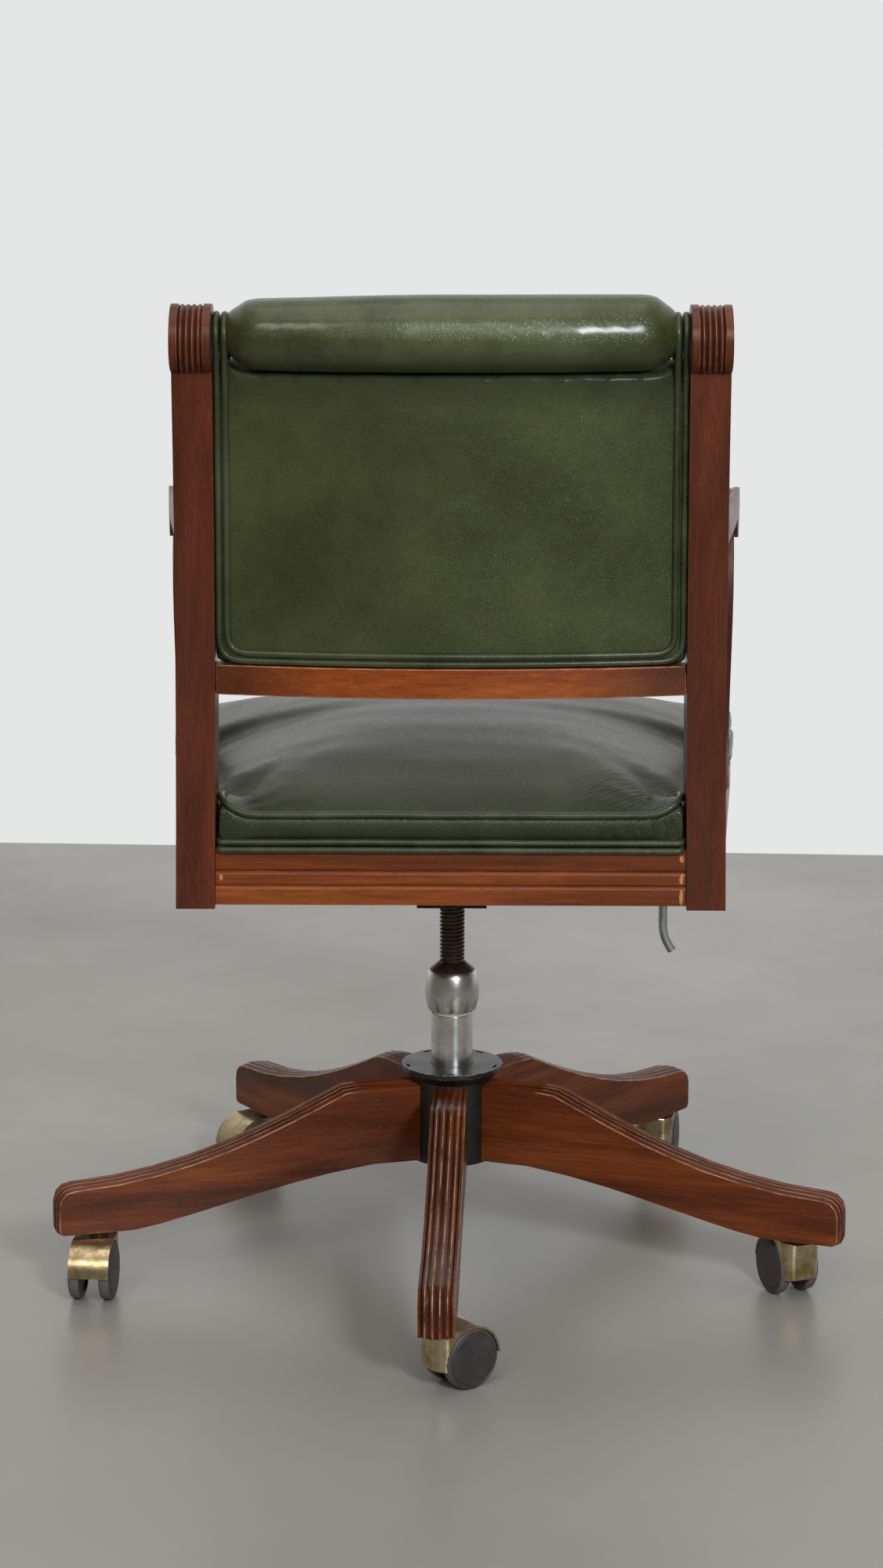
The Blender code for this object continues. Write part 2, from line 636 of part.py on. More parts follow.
def make_spindle(parent):
    """A helical thread that runs out at both ends into a plain rod, with a collar and a tenon on top."""
    root_radius = SPINDLE_RADIUS - THREAD_DEPTH
    turns = math.floor(THREAD_LENGTH / THREAD_PITCH)
    start_z = collar_low_z - (turns + 1) * THREAD_PITCH
    last = turns * THREAD_SIDES
    bm = bmesh.new()

    def spot(step, radius, z):
        angle = math.tau * step / THREAD_SIDES
        return bm.verts.new((radius * math.cos(angle), radius * math.sin(angle), z))

    def ring(radius, z):
        return [spot(step, radius, z) for step in range(THREAD_SIDES)]

    roots = [
        spot(i, root_radius, start_z + THREAD_PITCH * i / THREAD_SIDES) for i in range(last + 1)
    ]
    crests = []
    crest_count = last - THREAD_SIDES
    for i in range(crest_count + 1):
        run_out = min(1.0, i / THREAD_SIDES, (crest_count - i) / THREAD_SIDES)
        crests.append(
            spot(i, root_radius + THREAD_DEPTH * run_out, start_z + THREAD_PITCH * (i / THREAD_SIDES + 0.5))
        )
    for i in range(crest_count):
        bm.faces.new((roots[i], roots[i + 1], crests[i + 1], crests[i]))
        bm.faces.new((crests[i], crests[i + 1], roots[i + 1 + THREAD_SIDES], roots[i + THREAD_SIDES]))
    foot = ring(root_radius, start_z - SPINDLE_BELOW_THREAD)
    for j in range(THREAD_SIDES - 1):
        bm.faces.new((foot[j], foot[j + 1], roots[j + 1], roots[j]))
    seam = [foot[0], roots[0], crests[0], roots[THREAD_SIDES], roots[THREAD_SIDES - 1]]
    for near, far in zip(seam, seam[1:]):
        bm.faces.new((foot[-1], near, far))
    bm.faces.new(foot)
    top = ring(root_radius, collar_low_z)
    for j in range(1, THREAD_SIDES):
        ahead = (j + 1) % THREAD_SIDES
        bm.faces.new((roots[crest_count + j], roots[crest_count + j + 1], top[ahead], top[j]))
    seam = [top[0], roots[last], crests[-1], roots[crest_count], roots[crest_count + 1]]
    for near, far in zip(seam, seam[1:]):
        bm.faces.new((top[1], near, far))
    collar_top = collar_low_z + SPINDLE_COLLAR_HEIGHT
    tenon_top = bracket_z + BRACKET_WALL + TENON_RISE
    head = [
        (SPINDLE_COLLAR_RADIUS, collar_low_z),
        (SPINDLE_COLLAR_RADIUS, collar_top),
        (TENON_RADIUS, collar_top),
        (TENON_RADIUS, tenon_top),
    ]
    for radius, z in head:
        upper = ring(radius, z)
        for j in range(THREAD_SIDES):
            ahead = (j + 1) % THREAD_SIDES
            bm.faces.new((top[j], top[ahead], upper[ahead], upper[j]))
        top = upper
    bm.faces.new(top)
    add_object("height_spindle", to_mesh("height_spindle", bm, 50), "dark_steel", parent)


def make_tilt_bracket(parent):
    half, wall = BRACKET_WIDTH / 2, BRACKET_WALL
    top = bracket_z + BRACKET_HEIGHT
    channel = [
        (-half, bracket_z),
        (half, bracket_z),
        (half, top),
        (half - wall, top),
        (half - wall, bracket_z + wall),
        (wall - half, bracket_z + wall),
        (wall - half, top),
        (-half, top),
    ]
    bm = slab(channel, -BRACKET_FRONT, BRACKET_REAR, along_y)
    bracket = add_object("tilt_bracket", to_mesh("tilt_bracket", bm), "dark_steel", parent)
    tenon = TENON_RADIUS + GAP
    hole = turned([(0, bracket_z - wall), (tenon, bracket_z - wall), (tenon, top), (0, top)], 20)
    cut(bracket, hole, "tenon_hole")
    cut(bracket, cross_hole(TILT_AXLE_RADIUS + GAP, BRACKET_WIDTH), "tilt_hole", (0, 0, pivot_z))
    lever_place = (0, lever_y, bracket_z + LEVER_RISE)
    cut(bracket, cross_hole(LEVER_RADIUS + GAP, BRACKET_WIDTH), "lever_hole", lever_place)


def cross_hole(radius, length, sides=16):
    """A cylinder along X through the origin."""
    bm = turned([(0, -length), (radius, -length), (radius, length), (0, length)], sides)
    bmesh.ops.rotate(bm, verts=bm.verts, matrix=Matrix.Rotation(math.radians(90), 3, "Y"))
    return bm


def make_tilt_axle(parent):
    shoulder = BRACKET_WIDTH / 2 + GAP + SEAT_PLATE_WALL + GAP
    end = shoulder + TILT_HEAD_HEIGHT
    profile = [
        (0, -end),
        (TILT_HEAD_RADIUS, -end),
        (TILT_HEAD_RADIUS, -shoulder),
        (TILT_AXLE_RADIUS, -shoulder),
        (TILT_AXLE_RADIUS, shoulder),
        (TILT_HEAD_RADIUS, shoulder),
        (TILT_HEAD_RADIUS, end),
        (0, end),
    ]
    bm = turned(profile, 16)
    bmesh.ops.rotate(bm, verts=bm.verts, matrix=Matrix.Rotation(math.radians(90), 3, "Y"))
    add_object("tilt_axle", to_mesh("tilt_axle", bm), "grey_steel", parent, (0, 0, pivot_z))


def make_tilt_spring(parent):
    low = bracket_z + BRACKET_WALL + GAP + SPRING_WIRE
    high = plate_z - GAP - SPRING_WIRE
    per_turn = 9
    steps = SPRING_TURNS * per_turn
    points = []
    for k in range(steps + 1):
        angle = math.tau * k / per_turn
        points.append(
            (
                SPRING_RADIUS * math.cos(angle),
                SPRING_CENTRE + SPRING_RADIUS * math.sin(angle),
                low + (high - low) * k / steps,
            )
        )
    lead = (high - low) / SPRING_TURNS
    print(f"tilt spring: the turns are {(lead - 2 * SPRING_WIRE) * 1000:.1f} mm apart")
    curve = tube_curve("tilt_spring", points, SPRING_WIRE * 0.98, 1)
    add_object("tilt_spring", curve, "grey_steel", parent)


def make_lever(parent):
    inner = BRACKET_WIDTH / 2 + GAP + PAWL_WIDTH
    down = (-LEVER_REACH, -LEVER_DROP)
    corners = [(inner, 0), (-LEVER_REACH, 0), down, (down[0] - LEVER_TIP_OUT, down[1] - LEVER_TIP_DROP)]
    path = [corners[0], (0, 0), (-LEVER_REACH / 2, 0)]
    path += rounded_corner(*corners[:3], LEVER_BEND, 5)
    path += rounded_corner(*corners[1:], LEVER_BEND, 3)
    path.append(corners[3])
    curve = tube_curve("tilt_lever", [(x, 0, z) for x, z in path], LEVER_RADIUS, 2)
    add_object("tilt_lever", curve, "grey_steel", parent)


def make_pawl(parent):
    """A short arm on the lever, between the bracket's walls, under the seat plate."""
    bore = LEVER_RADIUS + GAP
    nose = PAWL_LENGTH
    outline = arc((0, 0), PAWL_RADIUS, 180, 360, 8) + [(PAWL_RADIUS * 0.6, nose), (-PAWL_RADIUS * 0.2, nose)]
    bm = slab(outline, -PAWL_WIDTH / 2, PAWL_WIDTH / 2, from_the_side)
    pawl = add_object("lock_pawl", to_mesh("lock_pawl", bm), "dark_steel", parent)
    cut(pawl, cross_hole(bore, PAWL_WIDTH), "pawl_bore")


def make_seat_plate(parent):
    half_width, wall = SEAT_PLATE_WIDTH / 2, SEAT_PLATE_WALL
    ear_inner = BRACKET_WIDTH / 2 + GAP
    ear_low = pivot_z - EAR_WIDTH / 2
    section = [
        (-half_width, plate_top_z),
        (-half_width, plate_z),
        (-ear_inner - wall, plate_z),
        (-ear_inner - wall, ear_low),
        (-ear_inner, ear_low),
        (-ear_inner, plate_z),
        (ear_inner, plate_z),
        (ear_inner, ear_low),
        (ear_inner + wall, ear_low),
        (ear_inner + wall, plate_z),
        (half_width, plate_z),
        (half_width, plate_top_z),
    ]
    bm = slab(section, -SEAT_PLATE_LENGTH / 2, SEAT_PLATE_LENGTH / 2, along_y)
    plate = add_object("seat_plate", to_mesh("seat_plate", bm), "dark_steel", parent)
    for name, side in (("front", -1), ("rear", 1)):
        outer = side * SEAT_PLATE_LENGTH
        inner = side * EAR_WIDTH / 2
        waste = [(inner, ear_low - wall), (outer, ear_low - wall), (outer, plate_z), (inner, plate_z)]
        cut(plate, slab(waste, -half_width, half_width, from_the_side), f"{name}_of_ears")
    cut(plate, cross_hole(TILT_AXLE_RADIUS + GAP, BRACKET_WIDTH), "axle_hole", (0, 0, pivot_z))


def make_hood_mesh(parent):
    """A brass body, round in front of the stem and over the wheels, with a well for each wheel."""
    axle = (CASTER_TRAIL, WHEEL_RADIUS)
    inner = WHEEL_RADIUS + HOOD_CLEARANCE
    outer = inner + HOOD_WALL
    top = leg_seat_z - GAP - COLLAR_HEIGHT - GAP
    boss = AXLE_RADIUS + 0.0055
    tail = math.degrees(HOOD_TAIL_ANGLE)
    tail_z = axle[1] + outer * math.sin(HOOD_TAIL_ANGLE)
    front = -HOOD_NOSE - HOOD_CORNER / 4
    nose = rounded_corner((front, HOOD_LOWER_LIP), (front, top), (0, top), HOOD_CORNER)
    back = arc(axle, outer, 100, tail, 9)
    belly = [(axle[0] + boss, tail_z)] + arc(axle, boss, 10, -120, 5)
    outline = [(front, HOOD_LOWER_LIP)] + nose + [(STEM_RADIUS, top)] + back + belly
    bm = slab(outline, -HOOD_WIDTH, HOOD_WIDTH, along_y)
    hood = add_object("caster_hood_1", to_mesh("caster_hood", bm), "brass", parent)
    side, rear = HOOD_WIDTH / 2, CASTER_TRAIL * 3
    corners = [(rear, -side), (rear, side), (-HOOD_NOSE, side), (-HOOD_NOSE, -side)]
    plan = rounded(corners, [0, 0, HOOD_NOSE_CORNER, HOOD_NOSE_CORNER], 5)
    cut(hood, slab(plan, 0, CASTER_HEIGHT, from_above), "hood_plan", keep="INTERSECT")
    for side in (-1, 1):
        well = turned([(0, 0), (inner, 0), (inner, HOOD_WIDTH * 2), (0, HOOD_WIDTH * 2)], 28)
        bmesh.ops.rotate(well, verts=well.verts, matrix=Matrix.Rotation(math.radians(-90 * side), 3, "X"))
        place = (axle[0], side * (WHEEL_SPACING / 2 - GAP), axle[1])
        cut(hood, well, f"wheel_well_{side}", place)
    bore = AXLE_RADIUS + GAP
    shaft = turned([(0, -HOOD_WIDTH), (bore, -HOOD_WIDTH), (bore, HOOD_WIDTH), (0, HOOD_WIDTH)], 12)
    bmesh.ops.rotate(shaft, verts=shaft.verts, matrix=Matrix.Rotation(math.radians(90), 3, "X"))
    cut(hood, shaft, "axle_bore", (axle[0], 0, axle[1]))
    depth = top - STEM_IN_HOOD - GAP
    bore = turned([(0, depth), (STEM_RADIUS + GAP, depth), (STEM_RADIUS + GAP, 1), (0, 1)], 16)
    cut(hood, bore, "stem_bore")
    return hood, finished_mesh(hood)


def make_wheel_mesh():
    """Turned about Z and laid along Y, its inner face half the spacing from the middle of the caster."""
    inner, outer = WHEEL_SPACING / 2, WHEEL_SPACING / 2 + WHEEL_WIDTH
    bore = AXLE_RADIUS + GAP
    bore_end = outer - WHEEL_DOME - WHEEL_CAP
    half_side = math.pi / WHEEL_SIDES
    rim = WHEEL_RADIUS / math.cos(half_side)
    profile = [
        (0, bore_end),
        (bore, bore_end),
        (bore, inner),
        (rim, inner),
        (rim, outer - WHEEL_DOME),
        (rim - WHEEL_DOME, outer - WHEEL_DOME / 3),
        (rim / 2, outer),
        (0, outer),
    ]
    bm = turned(profile, WHEEL_SIDES, axis_start=math.radians(-90) + half_side)
    bmesh.ops.rotate(bm, verts=bm.verts, matrix=Matrix.Rotation(math.radians(-90), 3, "X"))
    return to_mesh("caster_wheel", bm)


def make_casters(parent):
    collar_top = leg_seat_z - GAP
    stem_low = collar_top - COLLAR_HEIGHT - STEM_IN_HOOD
    stem = turned(
        [
            (0, stem_low),
            (STEM_RADIUS, stem_low),
            (STEM_RADIUS, collar_top - COLLAR_HEIGHT),
            (COLLAR_RADIUS, collar_top - COLLAR_HEIGHT),
            (COLLAR_RADIUS, collar_top),
            (STEM_RADIUS, collar_top),
            (STEM_RADIUS, leg_seat_z + STEM_IN_LEG),
            (0, leg_seat_z + STEM_IN_LEG),
        ],
        16,
    )
    stem_mesh = to_mesh("caster_stem", stem)
    axle_half = WHEEL_SPACING / 2 + WHEEL_WIDTH - WHEEL_DOME - WHEEL_CAP - GAP
    axle = turned([(0, -axle_half), (AXLE_RADIUS, -axle_half), (AXLE_RADIUS, axle_half), (0, axle_half)], 12)
    bmesh.ops.rotate(axle, verts=axle.verts, matrix=Matrix.Rotation(math.radians(90), 3, "X"))
    axle_mesh = to_mesh("caster_axle", axle)
    wheel_mesh = make_wheel_mesh()
    hood_mesh = None
    for k, (angle, heading) in enumerate(zip(leg_angles, CASTER_HEADINGS), start=1):
        place = (stem_reach * math.cos(angle), stem_reach * math.sin(angle), 0)
        add_object(f"caster_stem_{k}", stem_mesh, "grey_steel", parent, place)
        caster = add_empty(f"caster_{k}", place, parent)
        if hood_mesh is None:
            hood, hood_mesh = make_hood_mesh(caster)
        else:
            hood = add_object(f"caster_hood_{k}", hood_mesh, "brass", caster)
        caster.rotation_euler = (0, 0, heading)
        axle_place = (CASTER_TRAIL, 0, WHEEL_RADIUS)
        add_object(f"caster_axle_{k}", axle_mesh, "grey_steel", caster, axle_place)
        add_object(f"wheel_{k}_left", wheel_mesh, "dark_plastic", caster, axle_place)
        add_object(f"wheel_{k}_right", wheel_mesh, "dark_plastic", caster, axle_place, math.radians(180))


def moulding():
    """(depth in from the outer face, height) round a rail's section, with its two grooves."""
    half = GROOVE_WIDTH / 2
    points = [(0, 0)]
    for height in GROOVE_HEIGHTS:
        points += [(0, height - half), (GROOVE_DEPTH, height), (0, height + half)]
    points += [(0, RAIL_HEIGHT), (RAIL_THICKNESS, RAIL_HEIGHT), (RAIL_THICKNESS, 0)]
    return [(depth, rail_z + height) for depth, height in points]


def make_rails(parent):
    post_front_y = post_front(rail_z) - GAP
    rear_face = POST_REAR - REAR_RAIL_SET_BACK
    rear = [
        [(side * (post_inner(z) - GAP), rear_face - depth, z) for depth, z in moulding()] for side in (-1, 1)
    ]
    add_object("rear_rail", to_mesh("rear_rail", loft(rear)), "mahogany", parent)
    slope = math.atan2(seat_half_front - POST_HALF_SPAN, post_front(rail_z) + SEAT_FRONT)
    mitre = math.tan(math.pi / 4 + slope / 2)
    across = 1 / math.cos(slope)
    for name, side in (("left", 1), ("right", -1)):
        rings = [[], []]
        for depth, z in moulding():
            rings[0].append((side * (frame_half(post_front_y) - depth * across), post_front_y, z))
            corner_y = -SEAT_FRONT + depth + GAP
            rings[1].append((side * (seat_half_front - depth / mitre), corner_y, z))
        add_object(f"{name}_rail", to_mesh(f"{name}_rail", loft(rings)), "mahogany", parent)
    front = []
    for side in (-1, 1):
        ends = [(side * (seat_half_front - GAP - d / mitre), -SEAT_FRONT + d, z) for d, z in moulding()]
        front.append(ends)
    add_object("front_rail", to_mesh("front_rail", loft(front)), "mahogany", parent)


def make_seat_base(parent):
    inner = RAIL_THICKNESS / math.cos(math.atan2(seat_half_front - POST_HALF_SPAN, SEAT_FRONT)) + 2 * GAP
    high = board_z - GAP
    for name, middle in (("front", -BATTEN_SPACING / 2), ("rear", BATTEN_SPACING / 2)):
        front_y, rear_y = middle - BATTEN_WIDTH / 2, middle + BATTEN_WIDTH / 2
        front_x, rear_x = frame_half(front_y) - inner, frame_half(rear_y) - inner
        outline = [(-front_x, front_y), (front_x, front_y), (rear_x, rear_y), (-rear_x, rear_y)]
        bm = slab(outline, batten_z, high, from_above)
        add_object(f"{name}_batten", to_mesh(f"{name}_batten", bm), "plywood", parent)
    rear_y = POST_REAR - REAR_RAIL_SET_BACK - RAIL_THICKNESS - GAP
    post_y = post_front(rail_z) - 2 * GAP
    front_y = -SEAT_FRONT + RAIL_THICKNESS + GAP
    tongue = post_inner(rail_top_z) - GAP
    half = [
        (frame_half(front_y) - inner, front_y),
        (frame_half(post_y) - inner, post_y),
        (tongue, post_y),
        (tongue, rear_y),
    ]
    outline = half + [(-x, y) for x, y in reversed(half)]
    bm = slab(outline, board_z, rail_top_z, from_above)
    add_object("seat_board", to_mesh("seat_board", bm), "plywood", parent)


def cushion_outline():
    """Half of the cushion's plan: between the posts, inside the arm supports, then out to the front."""
    rear_y = POST_REAR - PIPING
    neck_x = post_inner(rail_top_z) - CUSHION_SIDE_GAP
    post_y = post_front(rail_z) - CUSHION_SIDE_GAP
    support_y = -SUPPORT_FOOT_AHEAD - SUPPORT_SWELL - SUPPORT_FOOT_DEPTH / 2
    waist_x = frame_half(-SUPPORT_FOOT_AHEAD) - SUPPORT_THICKNESS - CUSHION_SIDE_GAP
    front_y = -SEAT_FRONT - CUSHION_FRONT_OVERHANG
    horn_y = support_y - CUSHION_HORN
    corners = [
        (neck_x, rear_y, 0.012),
        (neck_x, post_y, 0.004),
        (waist_x, post_y - 0.008, 0.006),
        (waist_x, support_y, 0.006),
        (frame_half(horn_y), horn_y, 0.012),
        (frame_half(front_y), front_y, CUSHION_CORNER),
    ]
    mirrored = [(-x, y, radius) for x, y, radius in reversed(corners)]
    whole = corners + mirrored
    return rounded([(x, y) for x, y, _ in whole], [radius for _, _, radius in whole], 3)


def outward(outline, distance):
    """The outline moved out by a distance, or in where it is negative."""
    area = sum(a[0] * b[1] - b[0] * a[1] for a, b in zip(outline, outline[1:] + outline[:1]))
    side = 1 if area > 0 else -1
    moved = []
    for i, point in enumerate(outline):
        along = (Vector(outline[(i + 1) % len(outline)]) - Vector(outline[i - 1])).normalized()
        moved.append(Vector(point) + Vector((along.y, -along.x)) * side * distance)
    return moved


def make_cushion(parent):
    outline = cushion_outline()
    middle = Vector((0, (POST_REAR - SEAT_FRONT) / 2))
    piping_z = cushion_z + CUSHION_HEIGHT
    sides = [
        (cushion_z, -0.004),
        (cushion_z + 0.002, 0.0005),
        (cushion_z + PIPING, -0.0005),
        (cushion_z + PIPING + 0.002, -CUSHION_DRAW_IN),
        (piping_z - PIPING, -CUSHION_DRAW_IN),
        (piping_z - PIPING / 2, 0.001),
        (piping_z, 0.0),
    ]
    rings = [[(p.x, p.y, z) for p in outward(outline, distance)] for z, distance in sides]
    for share in (0.96, 0.88, 0.74, 0.55, 0.34, 0.14):
        z = piping_z + CUSHION_CROWN * (1 - share**2.4)
        ring = [middle + (Vector(point) - middle) * share for point in outline]
        rings.append([(p.x, p.y, z) for p in ring])
    add_object("seat_cushion", to_mesh("seat_cushion", loft(rings), 50), "leather", parent)


def make_posts(parent):
    centre, slope = post_scroll()
    foot = post_rear(scroll_z - SCROLL_RADIUS) - centre[0]
    crease = -math.degrees(math.acos(max(-1.0, min(1.0, foot / SCROLL_RADIUS))))
    reed_z = rail_z + POST_REED_START
    front_top = scroll_z - SCROLL_RADIUS * math.sin(math.radians(slope))
    front = [(post_front(z), z) for z in spread(reed_z, front_top, 5)]
    scroll = arc(centre, SCROLL_RADIUS, 180 + slope, crease, 13)[1:]
    rear_top = scroll[-1][1]
    rear = [(post_rear(z), z) for z in spread(rear_top, lean_z, 6)[1:]]
    plain = rear + [(POST_REAR, post_foot_z), (post_front(post_foot_z), post_foot_z)]
    plain.append((post_front(lean_z), lean_z))
    for name, side in (("left", 1), ("right", -1)):

        def place(across, y, z, side=side):
            return (side * (post_inner(z) + POST_WIDTH / 2 + across), y, z)

        bm = reeded_bar(front + scroll, plain, POST_WIDTH, POST_REED_MARGIN, place)
        add_object(f"{name}_post", to_mesh(f"{name}_post", bm, 40), "dark_mahogany", parent)


def spread(first, last, steps):
    return [first + (last - first) * k / steps for k in range(steps + 1)]


def bow(x, half):
    return BACK_BOW * (1 - (x / half) ** 2)


def make_cross_rail(parent):
    rear = post_rear(cross_z + CROSS_RAIL_HEIGHT / 2) - REAR_RAIL_SET_BACK
    corners = [(0, 0), (0, 1), (1, 1), (1, 0)]
    rings = []
    for share in spread(-1, 1, 12):
        ring = []
        for ahead, up in corners:
            z = cross_z + CROSS_RAIL_HEIGHT * up
            half = post_inner(z) - GAP
            x = half * share
            ring.append((x, rear - CROSS_RAIL_DEPTH * ahead + bow(x, half), z))
        rings.append(ring)
    add_object("cross_rail", to_mesh("cross_rail", loft(rings)), "mahogany", parent)


def make_back_pad(parent):
    """The upholstered panel: piped edges at the posts, crowned in front, bowed to the rear."""
    middle = spread(pad_z, pad_top_z, 5)[1:-1]
    levels = [pad_z, pad_z + PAD_CORNER, *middle, pad_top_z - PAD_CORNER, pad_top_z]
    edge_share = 1 - PIPING * 2 / post_inner(pad_z)
    shares = [-1, -edge_share, -0.86, -0.6, -0.3, 0, 0.3, 0.6, 0.86, edge_share, 1]
    rings = []
    for share in shares:
        rear, front = [], []
        crown = (1 - abs(share) ** 4) ** 0.5
        depth = PAD_EDGE_THICKNESS + (PAD_THICKNESS - PAD_EDGE_THICKNESS) * crown
        for z in levels:
            half = post_inner(z) - GAP
            x = half * share
            trim = PAD_CORNER if z in (levels[0], levels[-1]) else 0
            rear_y = post_rear(z) - PAD_REAR_INSET + bow(x, half)
            rear.append((x, rear_y - trim, z))
            front.append((x, rear_y - depth + trim, z))
        rings.append(rear + front[::-1])
    add_object("back_pad", to_mesh("back_pad", loft(rings), 50), "leather", parent)


def make_top_roll(parent):
    """The stuffed roll between the scrolls, round at its ends, where the piping runs over it."""
    half = post_inner(roll_z + ROLL_RADIUS) - GAP
    piped = 1 - 2 * PIPING / half
    whole = [(1, ROLL_CAP), (piped + 0.04, ROLL_PIPED), (piped, ROLL_PIPED)]
    whole += [(piped - way, size) for way, size in ROLL_SHOULDERS]
    whole += [(0.55, 1), (0.2, 1)]
    rings = []
    centre_y = post_scroll()[0][0] - ROLL_RISE
    for share, size in [(-s, r) for s, r in whole] + [(s, r) for s, r in reversed(whole)]:
        radius = ROLL_RADIUS * size
        x = half * share
        circle = arc((centre_y + bow(x, half), roll_z), radius, 0, 360, 16)[:-1]
        rings.append([(x, y, z) for y, z in circle])
    add_object("top_roll", to_mesh("top_roll", loft(rings), 50), "leather", parent)


def make_arms(parent):
    root_z = arm_top_z - ARM_ROOT_HEIGHT
    root_y = post_front(arm_top_z) - GAP
    end_y = root_y - ARM_LENGTH
    radius = ARM_SCROLL_RADIUS
    under_z = arm_scroll_z - ARM_NECK
    crease = math.degrees(math.asin(-ARM_NECK / radius))
    top = bezier(
        (root_y, arm_top_z),
        (root_y - 0.30 * ARM_LENGTH, arm_top_z - 0.018),
        (root_y - 0.70 * ARM_LENGTH, arm_scroll_z + radius),
        (end_y, arm_scroll_z + radius),
        7,
    )
    scroll = arc((end_y, arm_scroll_z), radius, 90, 360 + crease, 12)[1:]
    support_y = end_y + SUPPORT_TOP_BEHIND_SCROLL
    under = [(support_y + SUPPORT_TOP_DEPTH, under_z), (root_y - 0.3 * ARM_LENGTH, root_z + 0.001)]
    under.append((post_front(root_z) - GAP, root_z))
    for name, side in (("left", 1), ("right", -1)):

        def place(across, y, z, side=side):
            return (side * (arm_centre(y) + across), y, z)

        bm = reeded_bar(top + scroll, under, ARM_WIDTH, ARM_REED_MARGIN, place)
        add_object(f"{name}_arm", to_mesh(f"{name}_arm", bm, 40), "mahogany", parent)
        make_support(name, side, support_y, under_z - GAP, parent)


def make_support(name, side, top_y, top_z, parent):
    """An S-shaped upright from the side rail to the arm, level at both ends."""
    foot_y, foot_z = -SUPPORT_FOOT_AHEAD, rail_top_z + GAP
    height = top_z - foot_z
    foot_x = frame_half(foot_y) - SUPPORT_THICKNESS / 2
    top_x = arm_centre(top_y)
    line = bezier(
        (foot_y, foot_z),
        (foot_y - SUPPORT_SWELL * 1.8, foot_z + 0.3 * height),
        (top_y + SUPPORT_SWELL * 1.8, foot_z + 0.66 * height),
        (top_y, top_z),
        9,
    )
    depths = spread(SUPPORT_FOOT_DEPTH, SUPPORT_TOP_DEPTH, 9)
    rear = [(y + depth / 2, z) for (y, z), depth in zip(line, depths)]
    front = [(y - depth / 2, z) for (y, z), depth in zip(line, depths)]
    outline = rear + front[::-1]
    rings = []
    for across in (-SUPPORT_THICKNESS / 2, SUPPORT_THICKNESS / 2):
        ring = []
        for y, z in outline:
            lean = (top_x - foot_x) * (z - foot_z) / height
            ring.append((side * (foot_x + lean + across), y, z))
        rings.append(ring)
    add_object(f"{name}_arm_support", to_mesh(f"{name}_arm_support", loft(rings), 40), "mahogany", parent)


def make_chair():
    base = add_empty("base", (0, swivel_y, 0))
    column = add_empty("column", (0, 0, 0), base)
    nut = add_empty("nut_axis", (0, 0, 0), column)
    carrier = add_empty("carrier", (0, 0, 0), column)
    lever = add_empty("lever_axis", (0, lever_y, bracket_z + LEVER_RISE), carrier)
    tilt = add_empty("tilt_axis", (0, 0, pivot_z), carrier)
    seat = add_empty("seat", (0, 0, -pivot_z), tilt)
    make_legs(base)
    make_hub(base)
    make_casters(base)
    make_column(base, column, nut)
    make_spindle(carrier)
    make_tilt_bracket(carrier)
    make_tilt_axle(carrier)
    make_tilt_spring(carrier)
    make_lever(lever)
    make_pawl(lever)
    make_seat_plate(seat)
    make_rails(seat)
    make_seat_base(seat)
    make_cushion(seat)
    make_posts(seat)
    make_cross_rail(seat)
    make_back_pad(seat)
    make_top_roll(seat)
    make_arms(seat)


make_chair()
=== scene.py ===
# Looks of a swivel desk chair in mahogany and green leather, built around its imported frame
import json
import math
import bmesh
import bpy
from mathutils import Matrix, Vector, noise
from mathutils.bvhtree import BVHTree


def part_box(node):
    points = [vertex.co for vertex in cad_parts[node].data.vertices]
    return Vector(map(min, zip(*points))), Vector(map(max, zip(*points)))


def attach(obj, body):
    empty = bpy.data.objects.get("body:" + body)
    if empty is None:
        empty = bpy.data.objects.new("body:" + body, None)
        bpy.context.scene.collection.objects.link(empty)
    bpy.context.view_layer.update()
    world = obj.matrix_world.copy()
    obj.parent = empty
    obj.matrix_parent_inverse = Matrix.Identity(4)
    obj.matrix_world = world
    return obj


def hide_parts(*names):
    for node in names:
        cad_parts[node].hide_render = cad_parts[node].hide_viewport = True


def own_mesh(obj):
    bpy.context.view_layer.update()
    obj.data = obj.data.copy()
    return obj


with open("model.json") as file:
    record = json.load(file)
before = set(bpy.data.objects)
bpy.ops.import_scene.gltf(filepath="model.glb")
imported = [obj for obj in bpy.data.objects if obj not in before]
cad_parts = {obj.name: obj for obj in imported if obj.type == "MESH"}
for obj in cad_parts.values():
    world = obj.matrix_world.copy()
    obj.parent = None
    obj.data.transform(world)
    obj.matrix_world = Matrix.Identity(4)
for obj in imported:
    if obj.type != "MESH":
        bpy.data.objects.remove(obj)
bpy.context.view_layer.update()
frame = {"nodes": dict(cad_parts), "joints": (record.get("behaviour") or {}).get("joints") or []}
nodes = frame["nodes"]
scene = bpy.context.scene
joints = {joint["name"]: joint for joint in frame["joints"]}
swivelY = joints["seat_swivel"]["pos_m"][1]
wheelSides = ("left", "right")
armSides = (("left", 1), ("right", -1))


# Helpers for materials: each adds to the node tree that was opened last

def colour(red, green, blue):
    # from 0-255 on a screen to the linear values that a shader takes
    parts = [value / 255 for value in (red, green, blue)]
    return (*[p / 12.92 if p < 0.04045 else ((p + 0.055) / 1.055) ** 2.4 for p in parts], 1)


def openTree(owner):
    global tree
    owner.use_nodes = True
    tree = owner.node_tree


def add(kind, inputs=None, **settings):
    node = tree.nodes.new("ShaderNode" + kind)
    for name, value in settings.items():
        setattr(node, name, value)
    for key, value in (inputs or {}).items():
        if isinstance(value, bpy.types.NodeSocket):
            tree.links.new(value, node.inputs[key])
        else:
            node.inputs[key].default_value = value
    return node


